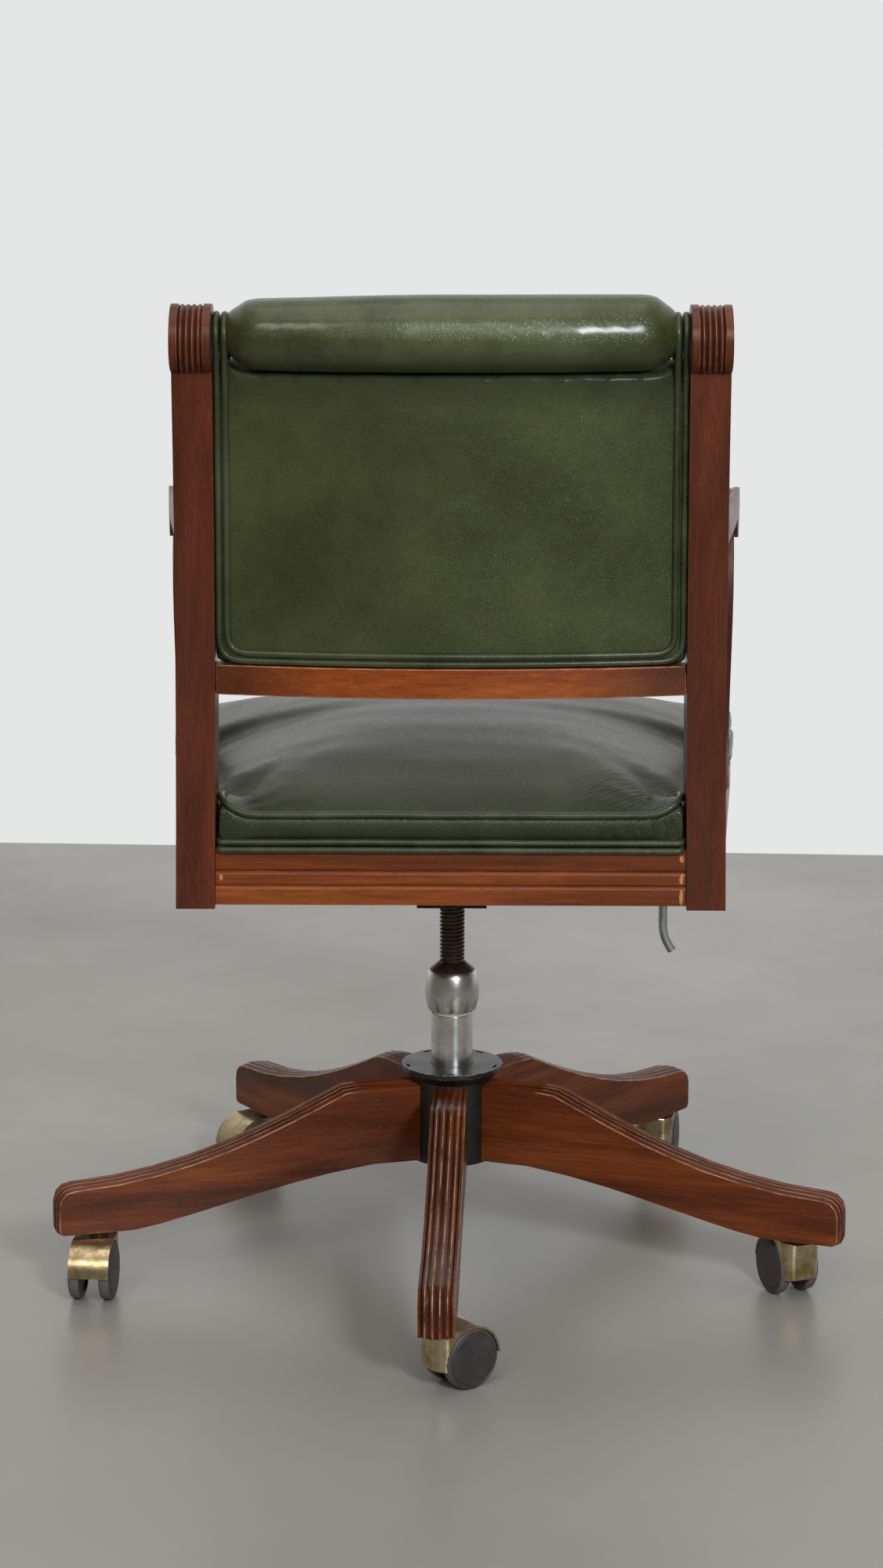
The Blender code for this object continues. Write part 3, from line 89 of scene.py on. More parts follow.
def newFinish(name, **values):
    material = bpy.data.materials.new(name)
    openTree(material)
    for socket, value in values.items():
        tree.nodes["Principled BSDF"].inputs[socket.replace("_", " ")].default_value = value
    return material


def wire(tone, roughness, bump=None):
    shader = tree.nodes["Principled BSDF"]
    tree.links.new(tone, shader.inputs["Base Color"])
    tree.links.new(roughness, shader.inputs["Roughness"])
    if bump is not None:
        tree.links.new(bump, shader.inputs["Normal"])


def onObject():
    return add("TexCoord").outputs["Object"]


def fromAttribute(name, output="Fac"):
    return add("Attribute", attribute_name=name).outputs[output]


def mottle(where, spots, detail=2.0, roughness=0.5, twist=0.0):
    # noise with a number of spots per metre, one for all axes or one for each
    size = spots if isinstance(spots, tuple) else (spots,) * 3
    stretched = add("Mapping", {"Vector": where, "Scale": size}).outputs[0]
    inputs = {"Vector": stretched, "Scale": 1.0, "Detail": detail}
    inputs |= {"Roughness": roughness, "Distortion": twist}
    return add("TexNoise", inputs).outputs["Fac"]


def ramp(value, stops):
    node = add("ValToRGB", {"Fac": value})
    elements = node.color_ramp.elements
    while len(elements) < len(stops):
        elements.new(0.5)
    for element, (place, tone) in zip(elements, stops):
        element.position = place
        element.color = colour(*tone)
    return node.outputs["Color"]


def level(value, low, high, toLow=0.0, toHigh=1.0):
    inputs = {"Value": value, "From Min": low, "From Max": high, "To Min": toLow, "To Max": toHigh}
    return add("MapRange", inputs).outputs[0]


def blend(share, first, second):
    # either of the two may be a plain 0-255 tone
    first, second = [colour(*tone) if isinstance(tone, tuple) else tone for tone in (first, second)]
    return add("Mix", {0: share, 6: first, 7: second}, data_type="RGBA").outputs[2]


def maths(operation, first, second=0.0):
    return add("Math", {0: first, 1: second}, operation=operation).outputs[0]


def times(first, second):
    return maths("MULTIPLY", first, second)


def glaze(mask, amount, under, tone):
    # lays a tone over another where a mask says so, at most by the amount
    return blend(times(mask, amount), under, tone)


def steer(operation, first, second, output=0):
    return add("VectorMath", {0: first, 1: second}, operation=operation).outputs[output]


def relief(height, depth, under=None):
    inputs = {"Height": height, "Distance": depth, "Strength": 1.0}
    if under is not None:
        inputs["Normal"] = under
    return add("Bump", inputs).outputs[0]


# Materials

woodTones = {
    "rails": {"dark": (90, 36, 6), "mid": (140, 62, 12), "light": (178, 92, 28), "bare": (196, 134, 84),
              "stained": (52, 22, 12)},
    "rearRail": {"dark": (80, 32, 7), "mid": (124, 55, 13), "light": (160, 82, 26), "bare": (196, 134, 84)},
    "posts": {"dark": (62, 24, 9), "mid": (88, 37, 16), "light": (108, 47, 22), "bare": (150, 92, 58)},
    "legs": {"dark": (64, 26, 8), "mid": (104, 46, 16), "light": (140, 70, 26), "bare": (206, 156, 122)},
}
leatherTones = {
    "panel": {"dark": (47, 51, 23), "mid": (57, 61, 28), "light": (67, 72, 36), "worn": (100, 104, 70)},
    # the seat's tones are the panel's leather made darker: painted shade
    "seat": {"dark": (23, 26, 9), "mid": (30, 33, 13), "light": (39, 42, 19), "worn": (74, 77, 52)},
    "piping": {"dark": (36, 41, 22), "mid": (44, 50, 28), "light": (55, 61, 36), "worn": (78, 84, 60)},
}
# tones of dirt and wear, with the painted shade of grooves and of the upholstery
dirtAndShadeTones = {"pores": (30, 13, 8), "grooves": (18, 8, 6), "creases": (24, 26, 16), "paintedShade": (16, 18, 11),
             "scuffs": (122, 112, 104), "specks": (58, 56, 52), "film": (52, 50, 46)}
# patterns are in spots per metre, those with three numbers along x, y and z, on wood with x along the grain
woodLook = {
    "shine": {"Coat_Weight": 0.12, "Coat_Roughness": 0.2, "Specular_IOR_Level": 0.35,
              "Specular_Tint": (1.0, 0.86, 0.74, 1.0)},
    "bands": (3.2, 36, 36), "fibres": (26, 640, 640), "pores": (150, 2300, 2300), "patches": (45, 90, 90),
    "smears": (18, 30, 30), "waves": (9, 40, 40), "chipEdge": 420, "endsOver": 0.07, "poreShare": 0.55,
    "grooveShadeShare": 0.92, "rubShare": 0.85, "roughness": (0.3, 0.48), "poreDepth": 0.00006,
    "fibreDepth": 0.00004, "waveDepth": 0.0004,
}
# the share and dullness given to the hollow attribute here are for painted shade on the upholstery
leatherLook = {
    "shine": {"Coat_Roughness": 0.2, "Specular_IOR_Level": 0.38, "Specular_Tint": (0.94, 1.0, 0.72, 1.0)},
    "wander": 160.0, "wanderBy": 0.0022, "clouds": 9, "spots": 240, "rubs": 14, "swells": (38, 60, 60),
    "folds": (70, 330, 70), "foldTurn": -32, "foldCore": 0.35, "paintedShadeShare": 0.75, "shadedDull": 0.5,
    "foldDepth": 0.0035, "swellDepth": 0.00035,
}
metalLook = {"specks": 900, "dents": 70, "turned": (30, 30, 3600), "speckDepth": 0.00002}
plasticLook = {"rings": 2600.0, "clouds": 90, "rubShare": 0.6, "ringDepth": 0.00005, "cloudDepth": 0.0001}
paintLook = {"coat": 0.2, "specks": 1100, "clouds": 35, "chips": 260, "speckDepth": 0.00005}
rawLook = {"rings": (5, 60, 60), "fibres": (30, 800, 800), "dark": (146, 112, 74), "light": (186, 152, 108),
           "fibre": (112, 82, 52), "fibreDepth": 0.0001}


def mahogany(name, tones, darkFrom=None, chips=()):
    # reads the board's own coordinates; darkFrom is where its ends get dark
    look = woodLook
    material = newFinish(name, **look["shine"])
    grain = fromAttribute("grain", "Vector")
    bands = mottle(grain, look["bands"], 4, 0.55, 0.7)
    fibres = mottle(grain, look["fibres"], 3, 0.6)
    pores = level(mottle(grain, look["pores"], 1), 0.6, 0.7)
    wood = ramp(bands, [(0.3, tones["dark"]), (0.5, tones["mid"]), (0.72, tones["light"])])
    wood = blend(level(fibres, 0.42, 0.72, 0.0, 0.55), wood, tones["dark"])
    wood = blend(level(fibres, 0.28, 0.44, 0.35, 0.0), wood, tones["light"])
    if darkFrom:
        sideways = add("SeparateXYZ", {0: onObject()}).outputs["X"]
        spread = maths("ADD", maths("ABSOLUTE", sideways), times(bands, 0.05))
        ends = level(spread, darkFrom, darkFrom + look["endsOver"], 0.0, 0.8)
        wood = blend(ends, wood, tones["stained"])
    wood = glaze(pores, look["poreShare"], wood, dirtAndShadeTones["pores"])
    # painted shade in the grooves, where the hollow attribute is set
    wood = glaze(fromAttribute("hollow"), look["grooveShadeShare"], wood, dirtAndShadeTones["grooves"])
    rubbed = level(mottle(grain, look["patches"], 3, 0.65), 0.36, 0.6)
    wood = glaze(times(fromAttribute("wear"), rubbed), look["rubShare"], wood, tones["bare"])
    for place, size in chips:
        off = steer("DIVIDE", steer("SUBTRACT", onObject(), place), size)
        far = add("VectorMath", {0: off}, operation="LENGTH").outputs["Value"]
        ragged = maths("ADD", far, mottle(onObject(), look["chipEdge"], 3, 0.7))
        wood = blend(level(ragged, 1.05, 1.3, 0.85, 0.0), wood, tones["bare"])
    bump = relief(times(pores, -1.0), look["poreDepth"])
    bump = relief(fibres, look["fibreDepth"], bump)
    bump = relief(mottle(grain, look["waves"], 2), look["waveDepth"], bump)
    wire(wood, level(mottle(grain, look["smears"], 3), 0.3, 0.7, *look["roughness"]), bump)
    return material


def leather(name, tones, cellsPerMetre, creaseDepth, roughness, creased=None, coat=0.22):
    # creased is a place, with its reach, where fine slanting folds gather
    look = leatherLook
    material = newFinish(name, Coat_Weight=coat, **look["shine"])
    where = onObject()
    # on the upholstery, hollow carries painted shade
    hollow = fromAttribute("hollow")
    wander = add("TexNoise", {"Vector": where, "Scale": look["wander"], "Detail": 2.0}).outputs["Color"]
    bent = steer("ADD", where, steer("MULTIPLY", wander, (look["wanderBy"],) * 3))
    cells = {"Vector": bent, "Scale": cellsPerMetre}
    edges = add("TexVoronoi", cells, feature="DISTANCE_TO_EDGE").outputs["Distance"]
    pebbles = level(edges, 0.0, 0.32)
    clouds = mottle(where, look["clouds"], 4, 0.6)
    spots = mottle(where, look["spots"], 3, 0.6)
    hide = ramp(clouds, [(0.34, tones["dark"]), (0.5, tones["mid"]), (0.68, tones["light"])])
    hide = blend(level(spots, 0.5, 0.75, 0.0, 0.35), hide, tones["dark"])
    hide = blend(level(pebbles, 0.0, 0.7, 0.5, 0.0), hide, dirtAndShadeTones["creases"])
    rubs = level(mottle(where, look["rubs"], 5, 0.7), 0.4, 0.75)
    hide = blend(times(rubs, fromAttribute("wear")), hide, tones["worn"])
    # painted shade where the hollow attribute says: under the roll, on the roll's underside and on the
    # cushion's boxing
    hide = glaze(hollow, look["paintedShadeShare"], hide, dirtAndShadeTones["paintedShade"])
    dull = maths("ADD", level(spots, 0.25, 0.75, *roughness), times(hollow, look["shadedDull"]))
    bump = relief(pebbles, creaseDepth)
    if creased:
        *place, reach = creased
        far = steer("DISTANCE", where, place, "Value")
        turned = {"Vector": where, "Rotation": (0, 0, math.radians(look["foldTurn"]))}
        slanting = mottle(add("Mapping", turned).outputs[0], look["folds"], 2, 0.5, 0.4)
        inside = level(far, reach * look["foldCore"], reach, 1.0, 0.0)
        bump = relief(times(slanting, inside), look["foldDepth"], bump)
    wire(hide, dull, relief(mottle(where, look["swells"], 3, 0.5), look["swellDepth"], bump))
    return material


def metal(name, base, stain, roughness, spotsPerMetre, dentDepth=0.0, turnedDepth=0.0, metallic=1.0):
    look = metalLook
    material = newFinish(name, Metallic=metallic)
    where = onObject()
    stains = mottle(where, spotsPerMetre, 5, 0.65)
    specks = mottle(where, look["specks"], 2)
    tone = blend(level(stains, 0.42, 0.68), base, stain)
    tone = blend(level(specks, 0.6, 0.75, 0.0, 0.4), tone, stain)
    bump = relief(specks, look["speckDepth"])
    if dentDepth:
        bump = relief(mottle(where, look["dents"], 2), dentDepth, bump)
    if turnedDepth:
        bump = relief(mottle(where, look["turned"], 2), turnedDepth, bump)
    wire(tone, level(stains, 0.3, 0.7, *roughness), bump)
    return material


def plastic(name, base, dust, roughness):
    # reads how far a point is from the wheel's own axis, for its fine turned lines
    look = plasticLook
    material = newFinish(name)
    ringsAt = add("CombineXYZ", {"X": times(fromAttribute("radius"), look["rings"])}).outputs[0]
    rings = add("TexNoise", {"Vector": ringsAt, "Scale": 1.0, "Detail": 2.0}).outputs["Fac"]
    clouds = mottle(onObject(), look["clouds"], 4, 0.65)
    tone = blend(level(clouds, 0.35, 0.7), base, dust)
    tone = blend(level(rings, 0.5, 0.8, 0.0, 0.5), tone, dust)
    tone = glaze(fromAttribute("wear"), look["rubShare"], tone, dirtAndShadeTones["scuffs"])
    bump = relief(clouds, look["cloudDepth"], relief(rings, look["ringDepth"]))
    wire(tone, level(clouds, 0.3, 0.7, *roughness), bump)
    return material


def paint(name, base, chipTone, roughness):
    look = paintLook
    material = newFinish(name, Coat_Weight=look["coat"], Coat_Roughness=0.2)
    where = onObject()
    specks = mottle(where, look["specks"], 2)
    clouds = mottle(where, look["clouds"], 4, 0.6)
    chips = level(mottle(where, look["chips"], 3), 0.5, 0.62)
    tone = blend(level(specks, 0.56, 0.7, 0.0, 0.6), base, dirtAndShadeTones["specks"])
    tone = blend(level(clouds, 0.45, 0.75, 0.0, 0.35), tone, dirtAndShadeTones["film"])
    tone = blend(times(fromAttribute("wear"), chips), tone, chipTone)
    wire(tone, level(clouds, 0.3, 0.7, *roughness), relief(specks, look["speckDepth"]))
    return material


def rawWood(name):
    look = rawLook
    material = newFinish(name)
    rings = mottle(onObject(), look["rings"], 4, 0.6, 0.6)
    fibres = mottle(onObject(), look["fibres"], 2)
    tone = ramp(rings, [(0.3, look["dark"]), (0.7, look["light"])])
    tone = blend(level(fibres, 0.5, 0.75, 0.0, 0.5), tone, look["fibre"])
    wire(tone, level(fibres, 0.3, 0.7, 0.6, 0.8), relief(fibres, look["fibreDepth"]))
    return material


# bare places where the polish has come off: middle and half sizes
railChips = [
    ((-0.1776, 0.177, 0.392), (0.0022, 0.004, 0.004)),
    ((-0.1776, 0.177, 0.376), (0.0022, 0.004, 0.006)),
    ((-0.1776, 0.177, 0.362), (0.0022, 0.004, 0.008)),
    ((0.1768, 0.177, 0.3765), (0.0022, 0.004, 0.0035)),
]
postChips = [
    ((0.1965, 0.2045, 0.3735), (0.02, 0.004, 0.0013)),
    ((0.2113, 0.2045, 0.356), (0.002, 0.005, 0.012)),
]
seatCrease = (-0.150, 0.150, 0.44, 0.065)
railWood = mahogany("polishedRails", woodTones["rails"])
rearRailWood = mahogany("polishedRearRail", woodTones["rearRail"], None, railChips)
crossWood = mahogany("stainedCrossRail", woodTones["rails"], 0.118)
postWood = mahogany("darkPosts", woodTones["posts"], None, postChips)
legWood = mahogany("polishedLegs", woodTones["legs"])
panelHide = leather("panelHide", leatherTones["panel"], 720.0, 0.00016, (0.38, 0.52), coat=0.08)
rollHide = leather("rollHide", leatherTones["panel"], 720.0, 0.00012, (0.26, 0.38), coat=0.42)
# the seat's darker leather tones are painted shade
shadedSeatHide = leather("shadedSeatHide", leatherTones["seat"], 720.0, 0.00014, (0.3, 0.42), seatCrease)
pipingHide = leather("pipingHide", leatherTones["piping"], 950.0, 0.00008, (0.28, 0.4))
brass = metal("antiqueBrass", (206, 188, 148), (140, 112, 70), (0.2, 0.36), 60, 0.0005)
steel = metal("turnedSteel", (226, 224, 221), (196, 192, 186), (0.16, 0.3), 60, 0.0, 0.00003)
nutSteel = metal("nutSteel", (206, 202, 197), (166, 160, 153), (0.2, 0.34), 60, 0.0, 0.00003)
oiledSteel = metal("oiledSteel", (96, 78, 66), (60, 46, 37), (0.26, 0.42), 200, 0.0001, 0.0, 0.7)
darkSteel = metal("darkSteel", (44, 42, 40), (30, 26, 22), (0.4, 0.6), 50, 0.0002, 0.0, 0.6)
zincSteel = metal("zincSteel", (186, 187, 180), (146, 148, 142), (0.34, 0.5), 120, 0.0001, 0.0, 0.85)
wheelPlastic = plastic("wheelPlastic", (52, 46, 46), (66, 60, 57), (0.38, 0.55))
blackPaint = paint("blackPaint", (13, 12, 11), (150, 146, 138), (0.3, 0.46))
bearingPlastic = plastic("bearingPlastic", (206, 202, 190), (186, 180, 166), (0.4, 0.5))
plywood = rawWood("plywood")
print("materials: made")


# Helpers for meshes

def writeAttribute(mesh, name, values, kind="FLOAT"):
    field = mesh.attributes.get(name) or mesh.attributes.new(name, kind, "POINT")
    field.data.foreach_set("value" if kind == "FLOAT" else "vector", values)


def placed(name, data):
    thing = bpy.data.objects.new(name, data)
    bpy.context.collection.objects.link(thing)
    return thing


def addPiece(name, mesh, body, material, stands=()):
    piece = placed(name, mesh)
    mesh.materials.clear()
    mesh.materials.append(material)
    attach(piece, body)
    if stands:
        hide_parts(*stands)
    return piece


meshShape = {"weld": 1e-5, "flat": 0.004, "sliver": 2e-6, "spunWeld": 2e-6, "cordWeld": 1e-6, "level": 2e-4}


def evaluated():
    return bpy.context.evaluated_depsgraph_get()


def mergedCopy(node):
    bm = bmesh.new()
    bm.from_mesh(nodes[node].data)
    bmesh.ops.remove_doubles(bm, verts=bm.verts, dist=meshShape["weld"])
    bm.normal_update()
    return bm


def finished(bm, name):
    mesh = bpy.data.meshes.new(name)
    bm.to_mesh(mesh)
    bm.free()
    return mesh


def fillAttribute(mesh, name, value):
    writeAttribute(mesh, name, [value] * len(mesh.vertices))


def sharpen(bm, angle):
    for face in bm.faces:
        face.smooth = True
    for edge in bm.edges:
        edge.smooth = edge.is_manifold and edge.calc_face_angle() < angle


def keepFlatsFlat(piece):
    piece.modifiers.new("flats", "WEIGHTED_NORMAL").keep_sharp = True
    return piece


def roundEdges(bm, wanted, radius, segments):
    # rounds the edges for which wanted(signed angle, edge) holds, and returns the new faces
    edges = [e for e in bm.edges if e.is_manifold and wanted(e.calc_face_angle_signed(), e)]
    if not edges:
        return []
    made = bmesh.ops.bevel(
        bm, geom=edges, offset=radius, offset_type="OFFSET", segments=segments, profile=0.5,
        affect="EDGES", clamp_overlap=True, material=-1,
    )
    return made["faces"]


def withoutSlivers(bm, kept):
    # drops the faces that rounding left without any area, and returns those kept that are still there
    bmesh.ops.dissolve_degenerate(bm, dist=meshShape["sliver"], edges=bm.edges)
    bm.normal_update()
    return {face for face in kept if face.is_valid}


def roundedCopy(node, passes, sharpFrom):
    # a CAD solid with its edges rounded, and how worn its points are; a pass is a test, radius and steps
    bm = mergedCopy(node)
    bmesh.ops.dissolve_limit(bm, angle_limit=meshShape["flat"], verts=bm.verts, edges=bm.edges)
    rounded = set()
    for wanted, radius, steps in passes:
        rounded |= set(roundEdges(bm, wanted, radius, steps))
    rounded = withoutSlivers(bm, rounded)
    sharpen(bm, sharpFrom)
    return bm, [float(all(f in rounded for f in v.link_faces)) for v in bm.verts]


# Wooden pieces: each takes its CAD solid's shape, with rounded edges, worn where they stand out
timberShape = {"crest": 0.0017, "crestSteps": 4, "crestFrom": 0.82, "crestTo": 1.36, "edge": 0.0011,
               "edgeSteps": 3, "shortest": 0.0015, "sharpFrom": 0.62, "grooveWidth": 0.004,
               "grooveTurn": -0.5, "acrossFrom": (0.12, 0.3, 1), "shifts": (1, 0.37, -0.61)}


def timber(name, node, body, material, along, shift, leaveAlone=None):
    # along is the way of the grain, and shift keeps boards from sharing one pattern
    shape = timberShape
    low, high = shape["crestFrom"], shape["crestTo"]

    def free(edge):
        touched = leaveAlone and any(leaveAlone(v.co) for v in edge.verts)
        return edge.calc_length() > shape["shortest"] and not touched

    def inGroove(v):
        narrow = all(2 * f.calc_area() / f.calc_perimeter() < shape["grooveWidth"] for f in v.link_faces)
        turns = [e.calc_face_angle_signed() for e in v.link_edges if e.is_manifold]
        return narrow and any(turn < shape["grooveTurn"] for turn in turns)

    crests = (lambda a, e: low < a < high and free(e), shape["crest"], shape["crestSteps"])
    edges = (lambda a, e: a > high and free(e), shape["edge"], shape["edgeSteps"])
    bm, wear = roundedCopy(node, (crests, edges), shape["sharpFrom"])
    along = Vector(along).normalized()
    across = along.cross(Vector(shape["acrossFrom"])).normalized()
    axes = tuple(zip((along, across, along.cross(across)), shape["shifts"]))
    grain = [v.co.dot(axis) + shift * part for v in bm.verts for axis, part in axes]
    # hollow marks the points in grooves, which are given painted shade
    hollow = [float(inGroove(v)) for v in bm.verts]
    mesh = finished(bm, name)
    writeAttribute(mesh, "grain", grain, "FLOAT_VECTOR")
    writeAttribute(mesh, "wear", wear)
    writeAttribute(mesh, "hollow", hollow)
    keepFlatsFlat(addPiece(name, mesh, body, material, [node]))


legNumbers = range(1, 6)
legShape = {"hubRadius": 0.0362, "stemRadius": 0.0068, "socketDepth": 0.03, "shift": 1.7}
for k in legNumbers:
    stem = Vector(joints[f"caster_swivel_{k}"]["pos_m"])
    radial = Vector((stem.x, stem.y - swivelY, 0)).normalized()

    def hidden(point, stem=stem):
        atHub = math.hypot(point.x, point.y - swivelY) < legShape["hubRadius"]
        atStem = math.hypot(point.x - stem.x, point.y - stem.y) < legShape["stemRadius"]
        return atHub or (atStem and point.z < stem.z + legShape["socketDepth"])

    timber(f"legWood{k}", f"leg_{k}", "base", legWood, radial, legShape["shift"] * k, hidden)
sideBoards = (
    ("Post", "post", postWood, "dark_mahogany", (0, 0.1, 1), 3.1),
    ("Arm", "arm", postWood, "mahogany", (0.05, -1, 0), 5.3),
    ("Support", "arm_support", postWood, "mahogany", (0, 0.2, 1), 7.9),
    ("Rail", "rail", railWood, "mahogany", (0.08, -1, 0), 9.7),
)
crossBoards = (("rear", rearRailWood, 2.3), ("front", railWood, 4.1), ("cross", crossWood, 6.7))
for side, sign in armSides:
    for part, node, finish, slot, (x, y, z), shift in sideBoards:
        timber(f"{side}{part}Wood", f"{side}_{node}", "seat", finish, (x * sign, y, z), shift * sign)
for place, finish, shift in crossBoards:
    timber(f"{place}RailWood", f"{place}_rail", "seat", finish, (1, 0, 0), shift)
print("wood: legs, posts, arms and rails")


# Metal and plastic pieces

def smoothCopy(name, node, body, material, radius, segments=2, roundFrom=0.7):
    # rounds the edges where the faces turn by more than roundFrom, in radians
    edges = (lambda a, e: a > roundFrom and e.calc_length() > radius, radius, segments)
    bm, wear = roundedCopy(node, [edges], 0.7)
    mesh = finished(bm, name)
    writeAttribute(mesh, "wear", wear)
    return keepFlatsFlat(addPiece(name, mesh, body, material, [node]))


def spun(profile, steps, place=Matrix(), lead=0.0, turns=1):
    # turns (radius, height) points about Z; a lead makes it a screw
    bm = bmesh.new()
    line = [bm.verts.new((radius, 0, height)) for radius, height in profile]
    edges = [bm.edges.new(pair) for pair in zip(line, line[1:])]
    bmesh.ops.spin(
        bm, geom=line + edges, cent=(0, 0, 0), axis=(0, 0, 1), dvec=(0, 0, lead / steps),
        angle=math.tau * turns, steps=steps * turns, use_merge=not lead, use_duplicate=False)
    bmesh.ops.remove_doubles(bm, verts=bm.verts, dist=meshShape["spunWeld"])
    bmesh.ops.holes_fill(bm, edges=bm.edges, sides=0)
    bmesh.ops.recalc_face_normals(bm, faces=bm.faces)
    bmesh.ops.transform(bm, matrix=place, verts=bm.verts)
    return bm


def toMesh(bm, name, sharpFrom=0.6):
    bm.normal_update()
    sharpen(bm, sharpFrom)
    return finished(bm, name)


def cordMesh(name, points, radius, closed=False, sides=3):
    # a round cord along a line of points
    curve = bpy.data.curves.new(name, "CURVE")
    curve.dimensions = "3D"
    curve.bevel_depth = radius
    curve.bevel_resolution = sides
    curve.use_fill_caps = not closed
    spline = curve.splines.new("POLY")
    spline.points.add(len(points) - 1)
    for slot, point in zip(spline.points, points):
        slot.co = (*point, 1)
    spline.use_cyclic_u = closed
    holder = placed(name + "Line", curve)
    mesh = bpy.data.meshes.new_from_object(holder.evaluated_get(evaluated()))
    bpy.data.objects.remove(holder, do_unlink=True)
    bpy.data.curves.remove(curve)
    bm = bmesh.new()
    bm.from_mesh(mesh)
    bmesh.ops.remove_doubles(bm, verts=bm.verts, dist=meshShape["cordWeld"])
    bmesh.ops.recalc_face_normals(bm, faces=bm.faces)
    bm.to_mesh(mesh)
    bm.free()
    mesh.shade_smooth()
    mesh.name = name
    return mesh


smoothCopy("hubShell", "hub", "base", blackPaint, 0.0005)
smoothCopy("columnTube", "column_tube", "base", steel, 0.0005)
barrelNut = smoothCopy("barrelNut", "height_nut", "nut", nutSteel, 0.0006, 2, 0.8)
barrelNut.data.materials.append(oiledSteel)
# the cone on the nut's top gets the dark oiled steel: painted reflection of the dark seat underside
coneShape = {"height": 0.0062, "radius": 0.0192}
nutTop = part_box("height_nut")[1].z
for face in barrelNut.data.polygons:
    outward = math.hypot(face.center.x, face.center.y - swivelY)
    if face.center.z > nutTop - coneShape["height"] and outward < coneShape["radius"]:
        face.material_index = 1

# Tilt spring, on a mesh of its own; in the chair the seat presses it down as it tilts
tiltSpring = smoothCopy("tiltSpring", "tilt_spring", "carrier", zincSteel, 0.0002, 1, 1.2)
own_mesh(tiltSpring)

# Screw spindle
spindleShape = {"root": 0.0092, "crest": 0.0105, "pitch": 0.0033, "turns": 47, "sides": 36, "collar": 0.014,
                "collarTall": 0.004, "chamfer": 0.0005, "neck": 0.007, "under": 0.0043,
                "rise": 0.14, "crestLow": 0.38, "crestHigh": 0.62, "fall": 0.86}
spindleLow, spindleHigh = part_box("height_spindle")
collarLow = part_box("tilt_bracket")[0].z - spindleShape["under"]


def makeSpindle():
    shape = spindleShape
    root, crest, pitch = shape["root"], shape["crest"], shape["pitch"]
    thread = [(root, 0), (root, shape["rise"]), (crest, shape["crestLow"]), (crest, shape["crestHigh"])]
    thread += [(root, shape["fall"]), (root, 1)]
    start = collarLow - (shape["turns"] + 1) * pitch
    at = Matrix.Translation((0, swivelY, start))
    bm = spun([(r, z * pitch) for r, z in thread], shape["sides"], at, pitch, shape["turns"])
    rod = [(0, spindleLow.z), (root, spindleLow.z), (root, collarLow), (0, collarLow)]
    collar, chamfer, neck = shape["collar"], shape["chamfer"], shape["neck"]
    collarHigh = collarLow + shape["collarTall"]
    cap = [(0, collarLow), (collar - chamfer, collarLow), (collar, collarLow + chamfer), (collar, collarHigh)]
    cap += [(neck, collarHigh), (neck, spindleHigh.z), (0, spindleHigh.z)]
    middle = Matrix.Translation((0, swivelY, 0))
    parts = [toMesh(bm, "thread", 0.9)]
    parts += [toMesh(spun(profile, shape["sides"], middle), "rod") for profile in (rod, cap)]
    whole = bmesh.new()
    for part in parts:
        whole.from_mesh(part)
        bpy.data.meshes.remove(part)
    mesh = finished(whole, "screwSpindle")
    addPiece("screwSpindle", mesh, "carrier", oiledSteel, ["height_spindle"])


makeSpindle()

# Bent lever at the sitter's right
leverShape = {"radius": 0.0037, "reach": 0.1778, "drop": 0.0636, "tipDrop": 0.0138, "tipOut": 0.0085,
              "bend": 0.011, "bendSteps": 8, "tipBack": 0.001, "tipRound": 0.0012, "sides": 6}


def roundedPath(corners, radius, steps):
    # straight runs with a round bend at each inner corner
    path = [corners[0]]
    for before, corner, after in zip(corners, corners[1:], corners[2:]):
        start = corner + (before - corner).normalized() * radius
        end = corner + (after - corner).normalized() * radius
        for k in range(steps + 1):
            share = k / steps
            path.append(start.lerp(corner, share).lerp(corner.lerp(end, share), share))
    return path + [corners[-1]]


def makeLever():
    shape = leverShape
    low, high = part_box("tilt_lever")
    y = (low.y + high.y) / 2
    z = high.z - shape["radius"]
    x = -shape["reach"]
    corners = [Vector((high.x, y, z)), Vector((x, y, z)), Vector((x, y, z - shape["drop"]))]
    corners.append(Vector((x - shape["tipOut"], y, z - shape["drop"] - shape["tipDrop"])))
    path = roundedPath(corners, shape["bend"], shape["bendSteps"])
    tip = path[-1] + (path[-1] - path[-2]).normalized() * -shape["tipBack"]
    mesh = cordMesh("bentLever", path[:-1] + [tip], shape["radius"], sides=shape["sides"])
    bm = bmesh.new()
    bm.from_mesh(mesh)
    roundEdges(bm, lambda a, e: a > 1.2, shape["tipRound"], 3)
    bm.to_mesh(mesh)
    bm.free()
    mesh.shade_smooth()
    keepFlatsFlat(addPiece("bentLever", mesh, "lever", zincSteel, ["tilt_lever"]))


makeLever()

# Casters
wheelShape = {"radius": 0.0237, "inner": 0.008, "width": 0.0105, "steps": 56, "axle": 0.0028, "bore": 0.0037,
              "rim": 0.86, "hub": 0.30, "hollow": 0.002, "rubbedFrom": 0.0228, "rubbedOver": 0.0009}


